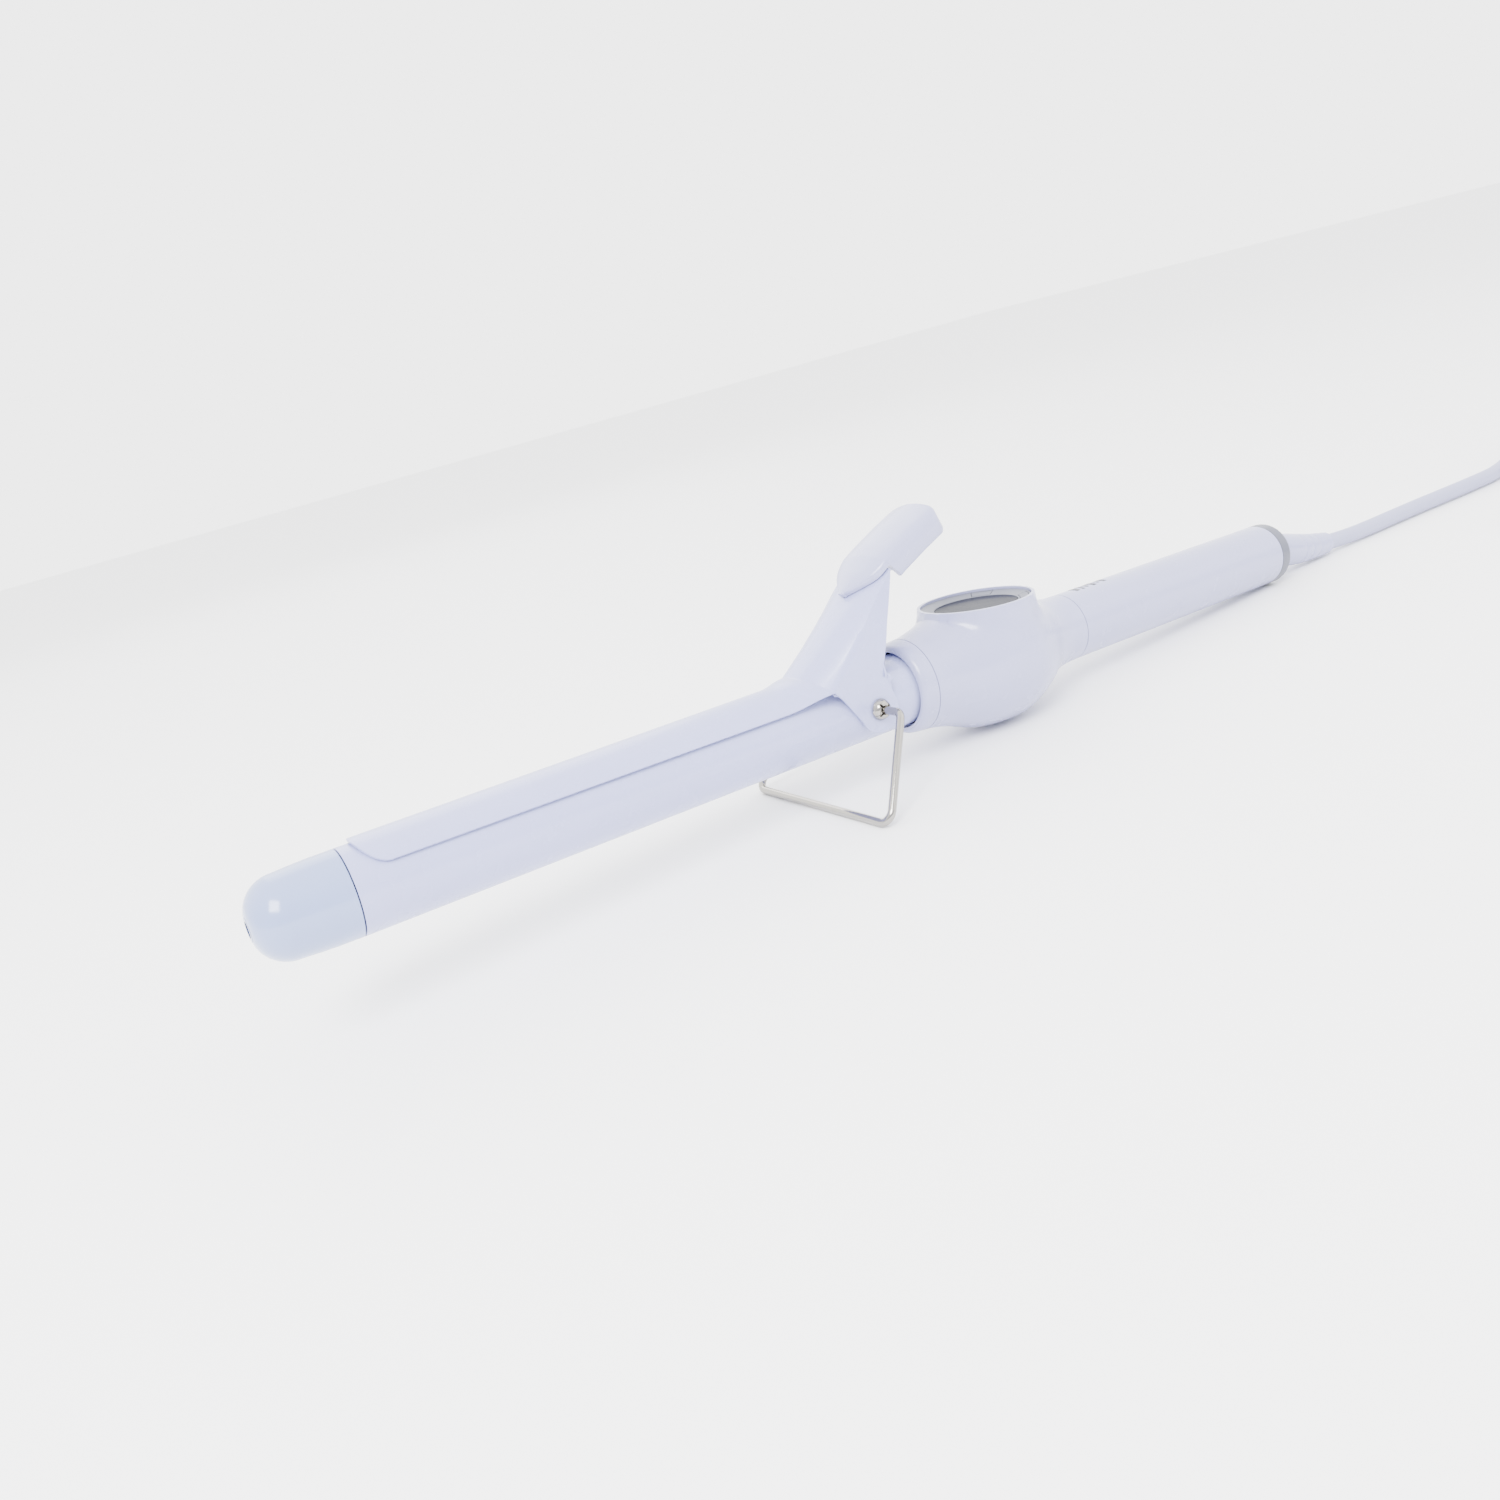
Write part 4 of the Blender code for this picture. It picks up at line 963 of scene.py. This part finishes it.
def plug_body(low):
    """The moulded plug: a ringed neck that swells into a flat body with finger ridges."""
    back = low.x + HANK_WIDTH / 2 - TAIL_LENGTH - CLEAR
    y = low.y + HANK_WIDTH / 2 - TRACKS[0] - PLUG_Y
    wide = [(s, a) for s, a, _, _ in PLUG_STATIONS]
    tall = [(s, b) for s, _, b, _ in PLUG_STATIONS]
    square = [(s, p) for s, _, _, p in PLUG_STATIONS]
    length = PLUG_STATIONS[-1][0]
    count = 120
    rows = []
    for j in range(count + 1):
        run = length * j / count
        ring = 0.00035 * max(math.sin(run / 0.016 * 10 * math.pi), 0.0) ** 3 if 0.001 < run < 0.015 else 0.0
        ridge = 0.00030 * max(math.sin(run * math.tau / 0.0022), 0.0) ** 2 if 0.028 < run < 0.038 else 0.0
        half_y = min(hermite(wide, run), 0.0126) - ring - ridge
        half_z = min(hermite(tall, run), 0.0066) - ring
        power = max(hermite(square, run), 2.0)
        row = []
        for k in range(64):
            turn = math.tau * k / 64
            c, s = math.cos(turn), math.sin(turn)
            row.append((
                back - run,
                y + half_y * math.copysign(abs(c) ** (2 / power), c),
                PLUG_Z + half_z * math.copysign(abs(s) ** (2 / power), s),
            ))
        rows.append(row)
    piece = loft("plug_moulding", rows, closed_rows=True, capped=True)
    return place(piece, Matrix.Identity(4), "white_cord", "housing", ["plug_body"], angle=50)


# ---------------------------------------------------------------- kept parts

REMADE = {
    "clip", "thumb_rest", "cool_tip", "pivot_screw_near", "pivot_screw_far", "stand_wire",
    "bulb_housing", "cord_guard", "cord_run", "cord_hank", "cord_tail", "plug_body",
}


def record_slots():
    """Each node's material slot, from the record."""
    return {entry["node"]: entry["material_slot"] for entry in frame["record"]["subparts"]}


def kept_parts():
    """Give every part that keeps its shape its finish, and even out its shading."""
    slots = record_slots()
    for name, node in NODES.items():
        if name in REMADE:
            continue
        surface = slot_finish(slots[name])
        for place_slot in node.material_slots:
            place_slot.material = surface
        if not node.material_slots:
            node.data.materials.append(surface)
        layer = node.data.attributes.get("custom_normal")
        if layer:
            node.data.attributes.remove(layer)
        node.data.shade_smooth()
        weld = node.modifiers.new("weld", "WELD")
        weld.merge_threshold = 0.000002
        split = node.modifiers.new("edges", "EDGE_SPLIT")
        split.split_angle = math.radians(35)


# ---------------------------------------------------------------- stage

def floor():
    """A wide pale floor just under the iron."""
    size = bpy.context.scene.curling_iron_sizes.floor_size / 2
    bm = bmesh.new()
    corners = [bm.verts.new((x * size, y * size, -0.0002)) for x, y in ((-1, -1), (1, -1), (1, 1), (-1, 1))]
    bm.faces.new(corners)
    piece = mesh_object("studio_floor", bm)
    piece.data.materials.append(
        finish("pale_floor", (0.93, 0.93, 0.93), 0.75, grain=0.004, depth=0.00002, mottle=0.004)
    )


def area_light(name, energy, size, place_at, aim):
    """A soft light at one place, turned towards another."""
    lamp = bpy.data.lights.new(name, "AREA")
    lamp.energy = energy
    lamp.size = size
    thing = bpy.data.objects.new(name, lamp)
    thing.location = place_at
    thing.rotation_euler = (Vector(aim) - Vector(place_at)).to_track_quat("-Z", "Y").to_euler()
    bpy.context.scene.collection.objects.link(thing)


def lights():
    """Three soft lights, and a studio that fades from white behind the iron to grey on the near side."""
    sizes = bpy.context.scene.curling_iron_sizes
    area_light("key_light", sizes.key_light, 0.7, (-0.75, -0.75, 1.1), (0, 0, 0.02))
    area_light("fill_light", sizes.fill_light, 1.2, (0.9, -0.9, 0.8), (0, 0, 0.02))
    area_light("rim_light", sizes.fill_light, 0.9, (0.2, 1.1, 0.9), (0, 0, 0.02))
    world = bpy.data.worlds.new("studio_world")
    world.use_nodes = True
    tree = world.node_tree
    back = tree.nodes["Background"]
    back.inputs["Strength"].default_value = WORLD_STRENGTH
    sky = tree.nodes.new("ShaderNodeTexCoord")
    facing = tree.nodes.new("ShaderNodeVectorMath")
    facing.operation = "DOT_PRODUCT"
    facing.inputs[1].default_value = STUDIO_BACK
    shade = tree.nodes.new("ShaderNodeValToRGB")
    shade.color_ramp.elements[0].position = 0.10
    shade.color_ramp.elements[0].color = (0.38, 0.39, 0.43, 1.0)
    shade.color_ramp.elements[1].position = 0.75
    shade.color_ramp.elements[1].color = (1.0, 1.0, 1.0, 1.0)
    spread = tree.nodes.new("ShaderNodeMapRange")
    spread.inputs["From Min"].default_value = -1.0
    tree.links.new(sky.outputs["Generated"], facing.inputs[0])
    tree.links.new(facing.outputs["Value"], spread.inputs["Value"])
    tree.links.new(spread.outputs["Result"], shade.inputs["Fac"])
    tree.links.new(shade.outputs["Color"], back.inputs["Color"])
    bpy.context.scene.world = world


def camera():
    """The camera on the near side, beside the barrel's front end and above its axis."""
    lens = bpy.data.cameras.new("camera")
    lens.lens = CAMERA_LENS
    lens.sensor_width = 36.0
    lens.clip_start = 0.01
    thing = bpy.data.objects.new("camera", lens)
    bpy.context.scene.collection.objects.link(thing)
    turn = Euler([math.radians(a) for a in CAMERA_TURN]).to_matrix().to_4x4()
    thing.matrix_world = IRON @ Matrix.Translation(CAMERA_PLACE) @ turn
    bpy.context.scene.camera = thing


# ---------------------------------------------------------------- operators

class CURLINGIRON_OT_stage(bpy.types.Operator):
    """Lay the pale floor and set the soft lights and the camera"""

    bl_idname = "curling_iron.stage"
    bl_label = "Stage"

    def execute(self, context):
        floor()
        lights()
        camera()
        return {"FINISHED"}


class CURLINGIRON_OT_cord(bpy.types.Operator):
    """Build the mains cord, its strain relief, its hank and its plug"""

    bl_idname = "curling_iron.cord"
    bl_label = "Cord and plug"

    def execute(self, context):
        cord()
        return {"FINISHED"}


class CURLINGIRON_OT_kept_parts(bpy.types.Operator):
    """Give the parts that keep their shape their finishes"""

    bl_idname = "curling_iron.kept_parts"
    bl_label = "Kept parts"

    def execute(self, context):
        kept_parts()
        return {"FINISHED"}


class CURLINGIRON_OT_housing(bpy.types.Operator):
    """Build the bulb housing and the handle's printed marks"""

    bl_idname = "curling_iron.housing"
    bl_label = "Bulb housing"

    def execute(self, context):
        bulb_housing()
        printed_marks()
        return {"FINISHED"}


class CURLINGIRON_OT_clip(bpy.types.Operator):
    """Build the clip with its lever"""

    bl_idname = "curling_iron.clip"
    bl_label = "Clip and lever"

    def execute(self, context):
        clip()
        return {"FINISHED"}


class CURLINGIRON_OT_thumb_rest(bpy.types.Operator):
    """Build the thumb rest on the lever's end"""

    bl_idname = "curling_iron.thumb_rest"
    bl_label = "Thumb rest"

    def execute(self, context):
        thumb_rest()
        return {"FINISHED"}


class CURLINGIRON_OT_tip(bpy.types.Operator):
    """Build the cool tip"""

    bl_idname = "curling_iron.tip"
    bl_label = "Cool tip"

    def execute(self, context):
        cool_tip()
        return {"FINISHED"}


class CURLINGIRON_OT_stand(bpy.types.Operator):
    """Build the wire stand and the pivot screws that it turns in"""

    bl_idname = "curling_iron.stand"
    bl_label = "Stand and screws"

    def execute(self, context):
        pivot_screws()
        stand()
        return {"FINISHED"}


class CURLINGIRON_OT_spring(bpy.types.Operator):
    """Give the clip's leaf spring a mesh of its own"""

    bl_idname = "curling_iron.spring"
    bl_label = "Clip spring"

    def execute(self, context):
        leaf = NODES["clip_spring"]
        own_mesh(leaf)
        return {"FINISHED"}


STEPS = (
    CURLINGIRON_OT_stage,
    CURLINGIRON_OT_kept_parts,
    CURLINGIRON_OT_cord,
    CURLINGIRON_OT_housing,
    CURLINGIRON_OT_clip,
    CURLINGIRON_OT_thumb_rest,
    CURLINGIRON_OT_tip,
    CURLINGIRON_OT_stand,
    CURLINGIRON_OT_spring,
)


class CURLINGIRON_PT_looks(bpy.types.Panel):
    """The steps that build the curling iron's looks"""

    bl_idname = "CURLINGIRON_PT_looks"
    bl_label = "Curling Iron"
    bl_space_type = "VIEW_3D"
    bl_region_type = "UI"
    bl_category = "Curling Iron"

    def draw(self, context):
        for group in (context.scene.curling_iron_sizes, context.scene.curling_iron_colours):
            for name in group.__annotations__:
                self.layout.prop(group, name)
        for step in STEPS:
            self.layout.operator(step.bl_idname)


CLASSES = (CurlingIronSizes, CurlingIronColours, *STEPS, CURLINGIRON_PT_looks)


def register():
    for item in CLASSES:
        bpy.utils.register_class(item)
    bpy.types.Scene.curling_iron_sizes = bpy.props.PointerProperty(type=CurlingIronSizes)
    bpy.types.Scene.curling_iron_colours = bpy.props.PointerProperty(type=CurlingIronColours)


def unregister():
    del bpy.types.Scene.curling_iron_colours
    del bpy.types.Scene.curling_iron_sizes
    for item in reversed(CLASSES):
        bpy.utils.unregister_class(item)


def main():
    register()
    bpy.ops.curling_iron.stage()
    bpy.ops.curling_iron.kept_parts()
    bpy.ops.curling_iron.cord()
    bpy.ops.curling_iron.housing()
    bpy.ops.curling_iron.clip()
    bpy.ops.curling_iron.thumb_rest()
    bpy.ops.curling_iron.tip()
    bpy.ops.curling_iron.stand()
    bpy.ops.curling_iron.spring()


if __name__ == "__main__":
    main()
